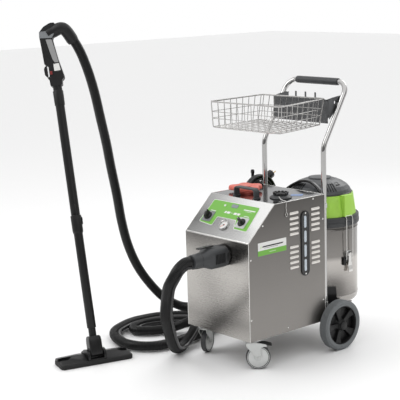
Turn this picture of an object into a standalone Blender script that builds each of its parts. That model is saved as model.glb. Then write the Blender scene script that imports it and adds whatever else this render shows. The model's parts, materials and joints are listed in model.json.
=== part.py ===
"""Commercial steam cleaner with a wet/dry vacuum on its rear platform.

Metres, +Z up.  The cart is modelled in its own frame: X = 0 on its centre plane, Y = 0 on its
front panel, Z = 0 on the floor, +Y towards the rear.  SHIFT then moves everything, so that the
finished frame has its origin on the floor under the middle of the object without its cords.
"""
import math

import bmesh
import bpy
from mathutils import Matrix, Vector

# ---------------------------------------------------------------- driving dimensions
SHIFT = Vector((0.2706, -0.1325, 0.0))
GAP = 0.0003            # clearance between pieces that touch
SHEET = 0.002           # sheet steel thickness

WIDTH = 0.380           # housing
DEPTH = 0.435
BASE_Z = 0.130
FRONT_TOP = 0.534
TOP_Z = 0.671
SLANT_DEPTH = 0.146

SOCKET = Vector((0.043, 0.0, 0.467))
PLUG_LENGTH = 0.1670

GAUGE_ZERO = 135.0      # needle's rest position, degrees left of straight up

TUBE_R = 0.0110         # handle frame
HANDLE_X = 0.1745
HANDLE_Y = DEPTH + TUBE_R + GAP
HANDLE_BEND_Z = 0.865
HANDLE_TOP_Y = 0.600
HANDLE_TOP_Z = 1.118

BASKET_Z = (0.950, 1.058)     # wire basket, narrower at the rear and standing a little askew on its brackets
BASKET_RIM = [(-0.180, 0.142), (0.214, 0.163), (0.145, 0.4905), (-0.203, 0.467)]
BASKET_FLOOR = [(-0.177, 0.148), (0.207, 0.168), (0.141, 0.4665), (-0.199, 0.443)]
BACK_PLATE_Y = 0.4935

CASTER_X = 0.144        # front casters
CASTER_Y = 0.050
CASTER_TRAIL = 0.025
CASTER_R = 0.050

WHEEL_Y = 0.490         # rear wheels
WHEEL_R = 0.106
WHEEL_IN = 0.198
WHEEL_OUT = 0.243
AXLE_R = 0.010

VAC = Vector((-0.004, 0.612, 0.0))   # vacuum axis
DRUM_R = 0.162
DRUM_Z = (0.164, 0.503)
RING_R = 0.168
RING_TOP = 0.545
BAND_TOP = 0.635
DOME_R = 0.135
DOME_TOP = 0.701
LATCH_R = 0.172         # distance of the latch pivots from the vacuum axis, and their height
LATCH_Z = 0.384

FILLER = Vector((0.108, 0.262, TOP_Z))
BOILER_CAP = Vector((-0.100, 0.262, TOP_Z))

WAND_FOOT = Vector((-0.4050, -0.3470, 0.1440))
WAND_AXIS = Vector((-0.2672, 0.0716, 0.9610)).normalized()
WAND_TUBE_R = 0.019
WAND_JOINT = 0.474      # distances along the wand from its foot
WAND_TOP = 1.014
NOZZLE_LONG = Vector((0.259, 0.966, 0.0)).normalized()
NOZZLE_HINGE_Z = 0.048
NOZZLE_HALF = 0.158

HOSE_R = 0.0235
MAINS_R = 0.005

# Steam and suction hose: from the plug down to the floor, two turns there, up to the wand.
HOSE_ROUTE = [
    (0.043, -0.178, 0.467), (0.043, -0.205, 0.466), (0.042, -0.237, 0.448), (0.035, -0.255, 0.420),
    (0.017, -0.268, 0.377), (-0.006, -0.261, 0.319), (-0.052, -0.230, 0.241), (-0.107, -0.175, 0.160),
    (-0.152, -0.124, 0.092), (-0.190, -0.078, 0.045), (-0.214, -0.036, 0.026), (-0.234, 0.010, 0.026),
    (-0.251, 0.054, 0.042), (-0.270, 0.098, 0.064), (-0.302, 0.138, 0.077), (-0.346, 0.166, 0.078),
    (-0.398, 0.163, 0.058), (-0.446, 0.130, 0.034), (-0.482, 0.082, 0.025),
    (-0.518, 0.024, 0.025), (-0.560, -0.001, 0.025), (-0.596, 0.024, 0.025), (-0.606, 0.080, 0.025),
    (-0.585, 0.150, 0.025), (-0.546, 0.215, 0.025), (-0.494, 0.266, 0.025), (-0.432, 0.290, 0.025),
    (-0.370, 0.278, 0.025), (-0.330, 0.226, 0.025), (-0.311, 0.160, 0.025), (-0.305, 0.090, 0.025),
    (-0.302, 0.010, 0.025), (-0.312, -0.070, 0.025), (-0.362, -0.130, 0.025), (-0.440, -0.150, 0.025),
    (-0.522, -0.132, 0.025), (-0.598, -0.086, 0.025), (-0.641, -0.014, 0.025), (-0.664, 0.064, 0.025),
    (-0.660, 0.140, 0.025), (-0.640, 0.212, 0.025), (-0.595, 0.282, 0.025), (-0.532, 0.338, 0.025),
    (-0.456, 0.370, 0.028), (-0.380, 0.370, 0.038), (-0.325, 0.332, 0.060), (-0.325, 0.280, 0.082),
    (-0.372, 0.248, 0.096), (-0.432, 0.238, 0.103), (-0.492, 0.213, 0.101), (-0.544, 0.164, 0.136),
    (-0.591, 0.125, 0.194), (-0.634, 0.083, 0.281), (-0.659, 0.050, 0.383), (-0.672, 0.028, 0.495),
    (-0.677, 0.010, 0.623), (-0.682, -0.012, 0.749), (-0.682, -0.031, 0.855), (-0.681, -0.057, 0.968),
    (-0.680, -0.086, 1.092), (-0.682, -0.120, 1.201), (-0.689, -0.158, 1.290), (-0.704, -0.209, 1.365),
    (-0.721, -0.228, 1.366),
]
# Mains cable: from its gland on the rear panel up to the hank on its hook.
MAINS_ROUTE = [
    (-0.150, 0.4200, 0.300), (-0.150, 0.440, 0.300), (-0.150, 0.456, 0.3005), (-0.158, 0.470, 0.306), (-0.172, 0.482, 0.325),
    (-0.188, 0.487, 0.355), (-0.201, 0.484, 0.390), (-0.209, 0.476, 0.425), (-0.2135, 0.468, 0.460),
    (-0.2135, 0.463, 0.490), (-0.2135, 0.461, 0.5085),
]


# ---------------------------------------------------------------- helpers
def clear_scene():
    for old in list(bpy.data.objects):
        bpy.data.objects.remove(old, do_unlink=True)


def material(name, color, roughness, metallic=0.0):
    found = bpy.data.materials.get(name)
    if found:
        return found
    made = bpy.data.materials.new(name)
    made.use_nodes = True
    shader = made.node_tree.nodes["Principled BSDF"]
    shader.inputs["Base Color"].default_value = (*color, 1.0)
    shader.inputs["Roughness"].default_value = roughness
    shader.inputs["Metallic"].default_value = metallic
    return made


def steel():
    return material("stainless_steel", (0.52, 0.50, 0.48), 0.28, 1.0)


def chrome():
    return material("chrome_tube", (0.75, 0.75, 0.76), 0.12, 1.0)


def zinc():
    return material("zinc_plate", (0.62, 0.64, 0.63), 0.35, 1.0)


def black():
    return material("black_plastic", (0.02, 0.02, 0.021), 0.45)


def grey():
    return material("grey_plastic", (0.075, 0.08, 0.085), 0.5)


def green():
    return material("green_plastic", (0.30, 0.56, 0.07), 0.42)


def red():
    return material("red_plastic", (0.72, 0.10, 0.07), 0.4)


def rubber():
    return material("grey_rubber", (0.17, 0.18, 0.19), 0.8)


def brass():
    return material("brass", (0.72, 0.52, 0.22), 0.35, 1.0)


def white():
    return material("white_enamel", (0.86, 0.86, 0.84), 0.35)


def place(obj, surface, frame):
    """Link an object, give it its material and stand it in the cart's frame."""
    bpy.context.collection.objects.link(obj)
    obj.matrix_basis = Matrix.Translation(SHIFT) @ (frame or Matrix())
    if surface:
        obj.data.materials.append(surface)
    return obj


def finish(name, bm, surface, frame=None, smooth=False):
    """Turn a bmesh into one named object, with its faces pointing out."""
    bmesh.ops.recalc_face_normals(bm, faces=bm.faces)
    mesh = bpy.data.meshes.new(name)
    bm.to_mesh(mesh)
    bm.free()
    if smooth:
        mesh.shade_smooth()
        mesh.set_sharp_from_angle(angle=math.radians(35))
    return place(bpy.data.objects.new(name, mesh), surface, frame)


def prisms(name, outlines, low, high, surface, plane="XY", frame=None):
    """Flat outlines pushed from low to high along the axis normal to their plane."""
    axes = {
        "XY": lambda u, v, w: (u, v, w),
        "XZ": lambda u, v, w: (u, w, v),
        "YZ": lambda u, v, w: (w, u, v),
    }[plane]
    bm = bmesh.new()
    for outline in outlines:
        near = [bm.verts.new(axes(u, v, low)) for u, v in outline]
        far = [bm.verts.new(axes(u, v, high)) for u, v in outline]
        bm.faces.new(near)
        bm.faces.new(far)
        for i in range(len(outline)):
            bm.faces.new((near[i - 1], near[i], far[i], far[i - 1]))
    return finish(name, bm, surface, frame)


def prism(name, outline, low, high, surface, plane="XY", frame=None):
    return prisms(name, [outline], low, high, surface, plane, frame)


def block(name, low, high, surface, frame=None):
    outline = [(low[0], low[1]), (high[0], low[1]), (high[0], high[1]), (low[0], high[1])]
    return prism(name, outline, low[2], high[2], surface, "XY", frame)


def turned(name, profile, surface, segments=24, frame=None):
    """Turn a closed (radius, height) profile about Z; points on the axis become single vertices."""
    bm = bmesh.new()
    rings = []
    for radius, height in profile:
        if radius == 0:
            rings.append([bm.verts.new((0, 0, height))])
            continue
        angles = [2 * math.pi * i / segments for i in range(segments)]
        rings.append([bm.verts.new((radius * math.cos(a), radius * math.sin(a), height)) for a in angles])
    for one, two in zip(rings, rings[1:] + rings[:1]):
        for i in range(segments):
            j = (i + 1) % segments
            corners = [one[i % len(one)], one[j % len(one)], two[j % len(two)], two[i % len(two)]]
            unique = list(dict.fromkeys(corners))
            if len(unique) > 2:
                bm.faces.new(unique)
    return finish(name, bm, surface, frame, smooth=True)


def circle(radius, count, centre=(0, 0), start=0.0, sweep=2 * math.pi):
    """Points of an arc; a full circle leaves out its repeated last point."""
    last = count if abs(sweep) >= 2 * math.pi else count - 1
    angles = [start + sweep * i / last for i in range(count)]
    return [(centre[0] + radius * math.cos(a), centre[1] + radius * math.sin(a)) for a in angles]


def stadium(half_length, radius, steps=4):
    """A slot with round ends, lying along the first axis."""
    reach = half_length - radius
    right = circle(radius, steps, (reach, 0), -math.pi / 2, math.pi)
    left = circle(radius, steps, (-reach, 0), math.pi / 2, math.pi)
    return right + left


def moved(outline, du, dv, swap=False):
    return [((v if swap else u) + du, (u if swap else v) + dv) for u, v in outline]


def rounded_path(corners, radii, steps=4):
    """Straight runs joined by arcs of the given radii."""
    points = [Vector(corners[0])]
    for before, corner, after, radius in zip(corners, corners[1:], corners[2:], radii):
        corner = Vector(corner)
        one = (Vector(before) - corner).normalized()
        two = (Vector(after) - corner).normalized()
        half = one.angle(two) / 2
        reach = radius / math.tan(half)
        centre = corner + (one + two).normalized() * (radius / math.sin(half))
        first = (corner + one * reach - centre).normalized()
        last = (corner + two * reach - centre).normalized()
        for i in range(steps + 1):
            points.append(centre + first.slerp(last, i / steps) * radius)
    return points + [Vector(corners[-1])]


def smooth_route(route, reach, turn):
    """Points of a smooth curve through the route: a new one after some length or some turning."""
    knots = [Vector(p) for p in route]
    ends = [2 * knots[0] - knots[1]] + knots + [2 * knots[-1] - knots[-2]]
    dense = [knots[0]]
    for a, b, c, d in zip(ends, ends[1:], ends[2:], ends[3:]):
        for i in range(1, 13):
            t = i / 12
            dense.append(0.5 * (2 * b + (c - a) * t + (2 * a - 5 * b + 4 * c - d) * t * t
                                + (3 * b - a - 3 * c + d) * t ** 3))
    points, due = [dense[0]], 0.0
    for p, q, r in zip(dense, dense[1:], dense[2:]):
        due += (q - p).length / reach + (q - p).angle(r - q) / turn
        if due >= 1:
            points.append(q)
            due = 0.0
    if (points[-1] - dense[-1]).length < 0.012:
        points.pop()
    return points + [dense[-1]]


def tube(name, points, radius, surface, sides=2, frame=None):
    """A round bar or cord along open points, with filled ends."""
    curve = bpy.data.curves.new(name, "CURVE")
    curve.dimensions = "3D"
    curve.bevel_depth = radius
    curve.bevel_resolution = sides
    curve.use_fill_caps = True
    spline = curve.splines.new("POLY")
    spline.points.add(len(points) - 1)
    for target, point in zip(spline.points, points):
        target.co = (*point, 1.0)
    return place(bpy.data.objects.new(name, curve), surface, frame)


def combine(target, tool, operation="DIFFERENCE"):
    """Cut a hidden tool from its target, or join it on."""
    modifier = target.modifiers.new(tool.name, "BOOLEAN")
    modifier.operation = operation
    modifier.solver = "EXACT"
    modifier.object = tool
    tool.hide_render = True
    tool.display_type = "WIRE"
    return target


def at(point, direction=(0, 0, 1), across=None):
    """A frame with its Z axis along a direction, and its X as near as can be to another."""
    z = Vector(direction).normalized()
    across = Vector(across or ((0, 1, 0) if abs(z.x) > 0.9 else (1, 0, 0)))
    x = (across - z * z.dot(across)).normalized()
    turn = Matrix((x, z.cross(x), z)).transposed()
    return Matrix.Translation(Vector(point)) @ turn.to_4x4()


# ---------------------------------------------------------------- housing
SLOPE = Vector((0, SLANT_DEPTH, TOP_Z - FRONT_TOP)).normalized()
SLOPE_OUT = Vector((0, -SLOPE.z, SLOPE.y))
INNER_X = WIDTH / 2 - SHEET


def on_slope(u, v, lift=0.0):
    """A point on the slanted panel: u across it, v up it, lift off it."""
    return Vector((u, 0, FRONT_TOP)) + SLOPE * v + SLOPE_OUT * lift


def side_outline():
    return [(0, BASE_Z), (DEPTH, BASE_Z), (DEPTH, TOP_Z), (SLANT_DEPTH, TOP_Z), (0, FRONT_TOP)]


def louvre_slots(panel, x):
    """Two columns of ten slots, in an upper and a lower group of five."""
    outlines = []
    for y in (0.2535, 0.3775):
        for top in (0.619, 0.479):
            outlines += [moved(stadium(0.0255, 0.005, 3), y, top - 0.0215 * row) for row in range(5)]
    combine(panel, prisms(f"cut_{panel.name}_louvres", outlines, x - 0.01, x + 0.01, None, "YZ"))


def housing():
    half = INNER_X - GAP
    drop = SHEET / SLOPE.y
    tray = block("chassis_tray", (-half + 0.0005, SHEET + GAP, BASE_Z), (half - 0.0005, DEPTH - SHEET - GAP,
                 BASE_Z + 0.030), steel())
    combine(tray, block("cut_tray", (-half + 0.0035, 0.0053, BASE_Z + 0.003), (half - 0.0035, DEPTH - 0.0053, 0.2), None))

    front = block("front_panel", (-half, 0, BASE_Z), (half, SHEET, FRONT_TOP - drop - GAP), steel())
    combine(front, turned("cut_socket", [(0, -0.01), (0.0297, -0.01), (0.0297, 0.01), (0, 0.01)], None,
                          frame=at(SOCKET, (0, 1, 0))))

    slant = [(0, FRONT_TOP), (SLANT_DEPTH, TOP_Z), (SLANT_DEPTH, TOP_Z - drop), (0, FRONT_TOP - drop)]
    control = prism("control_panel", slant, -half, half, steel(), "YZ")
    hole = [(0, -0.02), (0.0205, -0.02), (0.0205, 0.02), (0, 0.02)]
    combine(control, turned("cut_gauge", hole, None, frame=at(on_slope(0.0, 0.060), SLOPE_OUT)))

    top = block("top_cover", (-half, SLANT_DEPTH + GAP, TOP_Z - SHEET), (half, DEPTH, TOP_Z), steel())
    neck_hole = [(0, -0.02), (0.023, -0.02), (0.023, 0.02), (0, 0.02)]
    combine(top, turned("cut_filler", neck_hole, None, frame=at(FILLER)))
    combine(top, turned("cut_boiler_neck", neck_hole, None, frame=at(BOILER_CAP)))

    for side, name in ((-1, "left_side_panel"), (1, "right_side_panel")):
        low, high = sorted((side * INNER_X, side * WIDTH / 2))
        panel = prism(name, side_outline(), low, high, steel(), "YZ")
        louvre_slots(panel, side * WIDTH / 2)
        if side > 0:
            window = moved(stadium(0.1275, 0.012), 0.3160, 0.4835, swap=True)
            combine(panel, prism("cut_window", window, 0.18, 0.2, None, "YZ"))

    rear = block("rear_panel", (-half, DEPTH - SHEET, BASE_Z), (half, DEPTH, TOP_Z - SHEET - GAP), steel())
    combine(rear, turned("cut_gland", [(0, -0.01), (0.008, -0.01), (0.008, 0.01), (0, 0.01)], None,
                         frame=at((-0.150, DEPTH, 0.300), (0, 1, 0))))

    platform = [(-0.160, 0.4360), (0.160, 0.4360), (0.160, 0.560), (0.100, 0.700), (-0.100, 0.700), (-0.160, 0.560)]
    plate = prism("rear_platform", platform, 0.1400, 0.1460, steel())
    for side in (-1, 1):
        low, high = sorted((side * 0.150, side * 0.155))
        ear = [(WHEEL_Y - 0.035, 0.143), (WHEEL_Y + 0.035, 0.143), (WHEEL_Y + 0.018, 0.088), (WHEEL_Y - 0.018, 0.088)]
        combine(plate, prism(f"join_axle_ear_{side}", ear, low, high, None, "YZ"), "UNION")
    bore = [(0, -0.3), (AXLE_R + GAP, -0.3), (AXLE_R + GAP, 0.3), (0, 0.3)]
    combine(plate, turned("cut_axle_bore", bore, None, frame=at((0, WHEEL_Y, WHEEL_R), (1, 0, 0))))


def internals():
    """What the housing holds: pressure boiler, pump and water tank."""
    dome = [(0, -0.130), (0.060, -0.122), (0.085, -0.095), (0.085, 0.095), (0.060, 0.122), (0, 0.130)]
    turned("boiler", dome, white(), 20, frame=at((-0.010, 0.125, 0.275), (1, 0, 0)))
    turned("pump", [(0, 0.0), (0.036, 0.0), (0.036, 0.070), (0.022, 0.078), (0.022, 0.135), (0, 0.135)], brass(), 16,
           frame=at((-0.165, 0.330, 0.205), (1, 0, 0)))
    low, high = (0.000, 0.214, 0.1640), (0.1780, 0.420, 0.6400)
    tank = block("water_tank", low, high, white())
    neck = [(0, -0.002), (0.0225, -0.002), (0.0225, 0.0365), (0, 0.0365)]
    combine(tank, turned("join_tank_neck", neck, None, frame=at((FILLER.x, FILLER.y, high[2]))), "UNION")


def controls():
    """Two rotary switches, the pressure gauge, the level window, the grip and the two caps."""
    for side, u, v in (("left", -0.116, 0.088), ("right", 0.088, 0.086)):
        frame = at(on_slope(u, v, GAP), SLOPE_OUT, (1, 0, 0))
        skirt = [(0, 0.0015), (0.017, 0.0015), (0.017, 0.008), (0.0145, 0.010), (0, 0.010)]
        knob = turned(f"{side}_switch_knob", skirt, black(), 20, frame=frame)
        bar = [(-0.005, -0.016), (0.005, -0.016), (0.006, 0.016), (-0.006, 0.016)]
        combine(knob, prism(f"join_{side}_switch_bar", bar, 0.006, 0.026, None, frame=frame), "UNION")

    frame = at(on_slope(0.0, 0.060), SLOPE_OUT, (1, 0, 0))
    cup = [(0, -0.024), (0.0202, -0.024), (0.0202, GAP), (0.0240, GAP), (0.0240, 0.0070), (0.0205, 0.0070),
           (0.0195, 0.0020), (0, 0.0020)]
    turned("gauge_body", cup, chrome(), 24, frame=frame)
    needle = [(-0.0012, -0.006), (0.0012, -0.006), (0.0006, 0.0155), (-0.0006, 0.0155)]
    at_zero = frame @ Matrix.Rotation(math.radians(GAUGE_ZERO), 4, "Z")
    prism("gauge_needle", needle, 0.0026, 0.0036, red(), frame=at_zero)

    window = moved(stadium(0.1360, 0.0235, 6), 0.3160, 0.4835, swap=True)
    trim = prism("level_window_frame", window, WIDTH / 2 + GAP, WIDTH / 2 + 0.005, black(), "YZ")
    slots = []
    for low, high in ((0.549, 0.600), (0.488, 0.538), (0.427, 0.479), (0.367, 0.418)):
        slots.append(moved(stadium((high - low) / 2, 0.0055, 3), 0.3155, (low + high) / 2, swap=True))
    combine(trim, prisms("cut_level_slots", slots, 0.18, 0.2, None, "YZ"))

    arch = [(-0.072, TOP_Z + GAP), (-0.054, TOP_Z + GAP), (-0.052, 0.703), (0.044, 0.703), (0.047, TOP_Z + GAP),
            (0.066, TOP_Z + GAP), (0.060, 0.707), (0.050, 0.716), (-0.058, 0.716), (-0.067, 0.708)]
    prism("top_grip", arch, 0.160, 0.190, black(), "XZ")

    cap = [(0, 0.0060), (0.0240, 0.0060), (0.0240, GAP), (0.0450, GAP), (0.0460, 0.0070), (0.0330, 0.0120),
           (0.0320, 0.0260), (0, 0.0260)]
    turned("filler_cap", cap, black(), 24, frame=at(FILLER))

    lobes = 5
    outline = []
    for i in range(lobes * 6):
        a = 2 * math.pi * i / (lobes * 6)
        radius = 0.064 + 0.010 * math.cos(lobes * a)
        outline.append((radius * math.cos(a), radius * math.sin(a)))
    skirt = [(0, -0.0200), (0.0225, -0.0200), (0.0225, GAP), (0.050, GAP), (0.050, 0.012), (0, 0.012)]
    knob = turned("boiler_cap", skirt, red(), 20, frame=at(BOILER_CAP))
    combine(knob, prism("join_cap_lobes", outline, 0.010, 0.028, None, frame=at(BOILER_CAP)), "UNION")


def handle():
    lean = Vector((0, HANDLE_TOP_Y - HANDLE_Y, HANDLE_TOP_Z - HANDLE_BEND_Z))
    corners = []
    for side in (-1, 1):
        leg = [(side * HANDLE_X, HANDLE_Y, 0.160), (side * HANDLE_X, HANDLE_Y, HANDLE_BEND_Z),
               (side * HANDLE_X, HANDLE_Y + lean.y, HANDLE_BEND_Z + lean.z)]
        corners += leg if side < 0 else leg[::-1]
    tube("handle_frame", rounded_path(corners, (0.09, 0.055, 0.055, 0.09)), TUBE_R, chrome())

    bore = TUBE_R + 2 * GAP
    sleeve = [(bore, -0.108), (0.0152, -0.108), (0.0152, 0.108), (bore, 0.108)]
    turned("handle_grip", sleeve, black(), 20, frame=at((0, HANDLE_TOP_Y, HANDLE_TOP_Z), (1, 0, 0)))


def hopper(name, floor, rim, low, high, surface):
    """A solid between a four-cornered floor outline and a rim outline above it."""
    bm = bmesh.new()
    near = [bm.verts.new((x, y, low)) for x, y in floor]
    far = [bm.verts.new((x, y, high)) for x, y in rim]
    bm.faces.new(near[::-1])
    bm.faces.new(far)
    for i in range(4):
        bm.faces.new((near[i - 1], near[i], far[i], far[i - 1]))
    bmesh.ops.triangulate(bm, faces=bm.faces[:])
    return finish(name, bm, surface)


def inset(outline, wall):
    """The outline's four corners, front left first, drawn in by a wall's thickness."""
    return [(x + wall * dx, y + wall * dy) for (x, y), (dx, dy)
            in zip(outline, ((1, 1), (-1, 1), (-1, -1), (1, -1)))]


def basket():
    low, high = BASKET_Z
    wall = 0.004
    shell = hopper("wire_basket", BASKET_FLOOR, BASKET_RIM, low, high, chrome())
    combine(shell, hopper("cut_basket", inset(BASKET_FLOOR, wall), inset(BASKET_RIM, wall), low + wall,
                          high + wall, None))
    half, prong = 0.1530, 0.004
    back = [(-half, 0.957), (half, 0.957), (half, 1.052)]
    for x in (0.085, 0.029, -0.027):
        back += [(x + prong, 1.052), (x + prong, 1.080), (x - prong, 1.080), (x - prong, 1.052)]
    back.append((-half, 1.052))
    plate = prism("basket_back_plate", back, BACK_PLATE_Y, BACK_PLATE_Y + 0.0020, grey(), "XZ")
    foot = BACK_PLATE_Y + 0.0005
    for side in (-1, 1):
        near, far = sorted((side * 0.1500, side * 0.1625))
        ear = [(foot, 1.052), (0.580, 1.062), (0.575, 1.044), (foot, 0.975)]
        combine(plate, prism(f"join_basket_ear_{side}", ear, near, far, None, "YZ"), "UNION")


# ---------------------------------------------------------------- running gear
def caster(side, x, trail):
    """Fork, wheel and brake pedal, in a frame on the swivel axis with X along the trail."""
    frame = at((x, CASTER_Y, 0), (0, 0, 1), trail)
    wheel_x, wheel_z = CASTER_TRAIL, CASTER_R
    cheek = [(-0.024, 0.1130), (0.024, 0.1130), (0.030, 0.0990), (wheel_x + 0.014, 0.056), (wheel_x + 0.010, 0.038),
             (wheel_x - 0.010, 0.038), (wheel_x - 0.014, 0.056), (-0.024, 0.0980)]
    fork = prism(f"{side}_caster_fork", cheek, -0.0180, 0.0180, zinc(), "XZ", frame)
    combine(fork, block(f"cut_{side}_fork_slot", (-0.03, -0.0135, 0.03), (0.08, 0.0135, 0.104), None, frame))
    race = [(0, 0.1120), (0.024, 0.1120), (0.024, 0.1220), (0.032, 0.1240), (0.032, 0.1297), (0, 0.1297)]
    combine(fork, turned(f"join_{side}_race", race, None, 16, frame), "UNION")
    axle = [(0, -0.0200), (0.004, -0.0200), (0.004, 0.0200), (0, 0.0200)]
    combine(fork, turned(f"join_{side}_pin", axle, None, 8, frame @ at((wheel_x, 0, wheel_z), (0, 1, 0))), "UNION")

    tread = [(0.0043, -0.0120), (0.0160, -0.0120), (0.0160, -0.0090), (0.0400, -0.0090), (0.0440, -0.0110),
             (CASTER_R - 0.001, -0.0110), (CASTER_R, -0.0070), (CASTER_R, 0.0070), (CASTER_R - 0.001, 0.0110),
             (0.0440, 0.0110), (0.0400, 0.0090), (0.0160, 0.0090), (0.0160, 0.0120), (0.0043, 0.0120)]
    turned(f"{side}_caster_wheel", tread, rubber(), 24, frame @ at((wheel_x, 0, wheel_z), (0, 1, 0)))
    pedal = [(0.0, -0.0030), (0.0485, -0.0080), (0.0495, -0.0030), (0.0245, 0.0040), (0.0, 0.0045)]
    prism(f"{side}_brake_pedal", pedal, -0.0150, 0.0150, black(), "XZ", frame @ at((0.0315, 0, 0.1070)))


def rear_wheel(side, sign):
    frame = at((sign * (WHEEL_IN + WHEEL_OUT) / 2, WHEEL_Y, WHEEL_R), (sign, 0, 0))
    half = (WHEEL_OUT - WHEEL_IN) / 2
    tyre = [(0.0820, -half + 0.003), (0.0960, -half), (WHEEL_R - 0.002, -half + 0.006), (WHEEL_R, -half + 0.012),
            (WHEEL_R, half - 0.012), (WHEEL_R - 0.002, half - 0.006), (0.0960, half), (0.0820, half - 0.003)]
    turned(f"{side}_rear_tyre", tyre, rubber(), 32, frame=frame)
    rim = [(AXLE_R + GAP, -half - 0.004), (0.0200, -half - 0.004), (0.0240, -0.004), (0.0700, -0.006),
           (0.0817, -half + 0.004), (0.0817, half - 0.004), (0.0700, 0.004), (0.0240, 0.006), (0.0200, half - 0.002),
           (AXLE_R + GAP, half - 0.002)]
    turned(f"{side}_rear_hub", rim, black(), 32, frame=frame)


def running_gear():
    caster("left", -CASTER_X, (-0.427, 0.904, 0))
    caster("right", CASTER_X, (0.651, 0.759, 0))
    reach = WHEEL_OUT - 0.003
    turned("rear_axle", [(0, -reach), (AXLE_R, -reach), (AXLE_R, reach), (0, reach)], zinc(),
           frame=at((0, WHEEL_Y, WHEEL_R), (1, 0, 0)))
    for side, sign in (("left", -1), ("right", 1)):
        rear_wheel(side, sign)


# ---------------------------------------------------------------- vacuum
def vacuum():
    on_axis = Matrix.Translation(VAC)
    foot = turned("vacuum_base", [(0, 0.1463), (0.125, 0.1463), (0.125, 0.1637), (0, 0.1637)], grey(), 32,
                  frame=on_axis)
    for i, (degrees, top) in enumerate(((-33, 0.250), (145, 0.215), (215, 0.215))):
        spin = on_axis @ Matrix.Rotation(math.radians(degrees), 4, "Z")
        lug = [(0.110, 0.1463), (0.190, 0.1463), (0.190, top - 0.030), (0.178, top), (0.1635, top),
               (0.1635, 0.1637), (0.110, 0.1637)]
        combine(foot, prism(f"join_vac_foot_{i}", lug, -0.024, 0.024, None, "XZ", frame=spin), "UNION")
    combine(foot, turned("cut_vac_foot", [(0, DRUM_Z[0] - GAP), (DRUM_R + 0.0015, DRUM_Z[0] - GAP), (DRUM_R + 0.0015, 0.3),
                                          (0, 0.3)], None, 32, frame=on_axis))

    low, high = DRUM_Z
    wall = 0.0015
    drum = [(0, low), (DRUM_R - 0.022, low), (DRUM_R - 0.006, low + 0.007), (DRUM_R, low + 0.022), (DRUM_R, high),
            (DRUM_R - wall, high), (DRUM_R - wall, low + 0.023), (DRUM_R - 0.007, low + 0.010),
            (DRUM_R - 0.022, low + 0.004), (0, low + 0.004)]
    turned("vacuum_drum", drum, steel(), 36, frame=on_axis)
    ring = [(0.140, high + GAP), (RING_R - 0.002, high + GAP), (RING_R, high + 0.006), (RING_R, RING_TOP - 0.006),
            (RING_R - 0.002, RING_TOP), (0.140, RING_TOP)]
    turned("drum_ring", ring, grey(), 36, frame=on_axis)
    band = [(0.130, RING_TOP + GAP), (0.155, RING_TOP + GAP), (0.142, BAND_TOP), (0.130, BAND_TOP)]
    turned("head_band", band, green(), 36, frame=on_axis)

    rise = DOME_TOP - BAND_TOP - GAP
    dome = [(0.0, DOME_TOP)]
    for i in range(1, 7):
        a = math.radians(15 * i)
        dome.append((DOME_R * math.sin(a), BAND_TOP + GAP + rise * math.cos(a)))
    dome += [(DOME_R, BAND_TOP + GAP), (DOME_R - 0.008, BAND_TOP + GAP), (0.108, 0.664), (0.055, 0.688), (0, 0.693)]
    dome[6] = (DOME_R, BAND_TOP + GAP + 0.006)
    shell = turned("motor_dome", dome, grey(), 36, frame=on_axis)
    rocker_hole = block("cut_rocker", (0.091, -0.011, 0.600), (0.109, 0.011, 0.750), None, frame=on_axis)
    combine(shell, rocker_hole)
    pivot = on_axis @ Matrix.Translation((0.1000, 0, 0.6700))
    rocker = [(-0.0080, -0.0060), (0.0080, -0.0080), (0.0075, 0.0080), (0.0, 0.0070), (-0.0080, 0.0120)]
    prism("vacuum_switch", rocker, -0.0100, 0.0100, black(), "XZ", frame=pivot)

    grip = [(-0.106, 0.499, 0.642), (-0.087, 0.501, 0.658), (-0.066, 0.503, 0.672), (-0.043, 0.506, 0.684),
            (-0.020, 0.508, 0.693), (0.004, 0.509, 0.697), (0.026, 0.509, 0.697), (0.046, 0.508, 0.693),
            (0.068, 0.505, 0.685), (0.088, 0.502, 0.674), (0.104, 0.499, 0.662)]
    tube("head_handle", [Vector(p) + Vector((0.008, -0.005, 0)) for p in grip], 0.007, black())

    for side, sign in (("left", -1), ("right", 1)):
        frame = at(VAC, (0, 0, 1), (sign, 0, 0))
        lever = [(-0.0030, 0.004), (0.0020, 0.004), (0.0020, -0.054), (0.0060, -0.072), (0.0040, -0.079),
                 (-0.0030, -0.069)]
        prism(f"{side}_latch_lever", lever, -0.0140, 0.0140, zinc(), "XZ", frame @ at((LATCH_R, 0, LATCH_Z)))
        wire = [(0.0, -0.019, 0.0), (0.0, -0.019, 0.174), (-0.0065, -0.019, 0.1875), (-0.0065, 0.019, 0.1875),
                (0.0, 0.019, 0.174), (0.0, 0.019, 0.0)]
        tube(f"{side}_latch_bail", wire, 0.0020, zinc(), 2, frame @ at((LATCH_R, 0, LATCH_Z - 0.022)))


# ---------------------------------------------------------------- cords
def mains_cable():
    hook = [(-0.1903, 0.440), (-0.1903, 0.455), (-0.258, 0.455), (-0.258, 0.440)]
    post = prism("cable_hook", hook, 0.646, 0.658, black())
    combine(post, block("join_hook_tip", (-0.258, 0.440, 0.650), (-0.250, 0.455, 0.726), None), "UNION")
    coil = [(0.0480, -0.0140), (0.1000, -0.0140), (0.1030, 0.0), (0.1000, 0.0140), (0.0480, 0.0140)]
    turned("mains_cable_hank", coil, black(), 32, frame=at((-0.2150, 0.450, 0.6120), (1, 0, 0)))
    plug = [(0, 0.0), (0.006, 0.0), (0.011, 0.010), (0.018, 0.022), (0.018, 0.048), (0, 0.048)]
    turned("mains_plug", plug, black(), 16, at((-0.2490, 0.516, 0.6740), (0, 0.4, 0.2)))
    tube("mains_cable", smooth_route(MAINS_ROUTE, 0.030, 0.8), MAINS_R, black(), 2)


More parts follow.
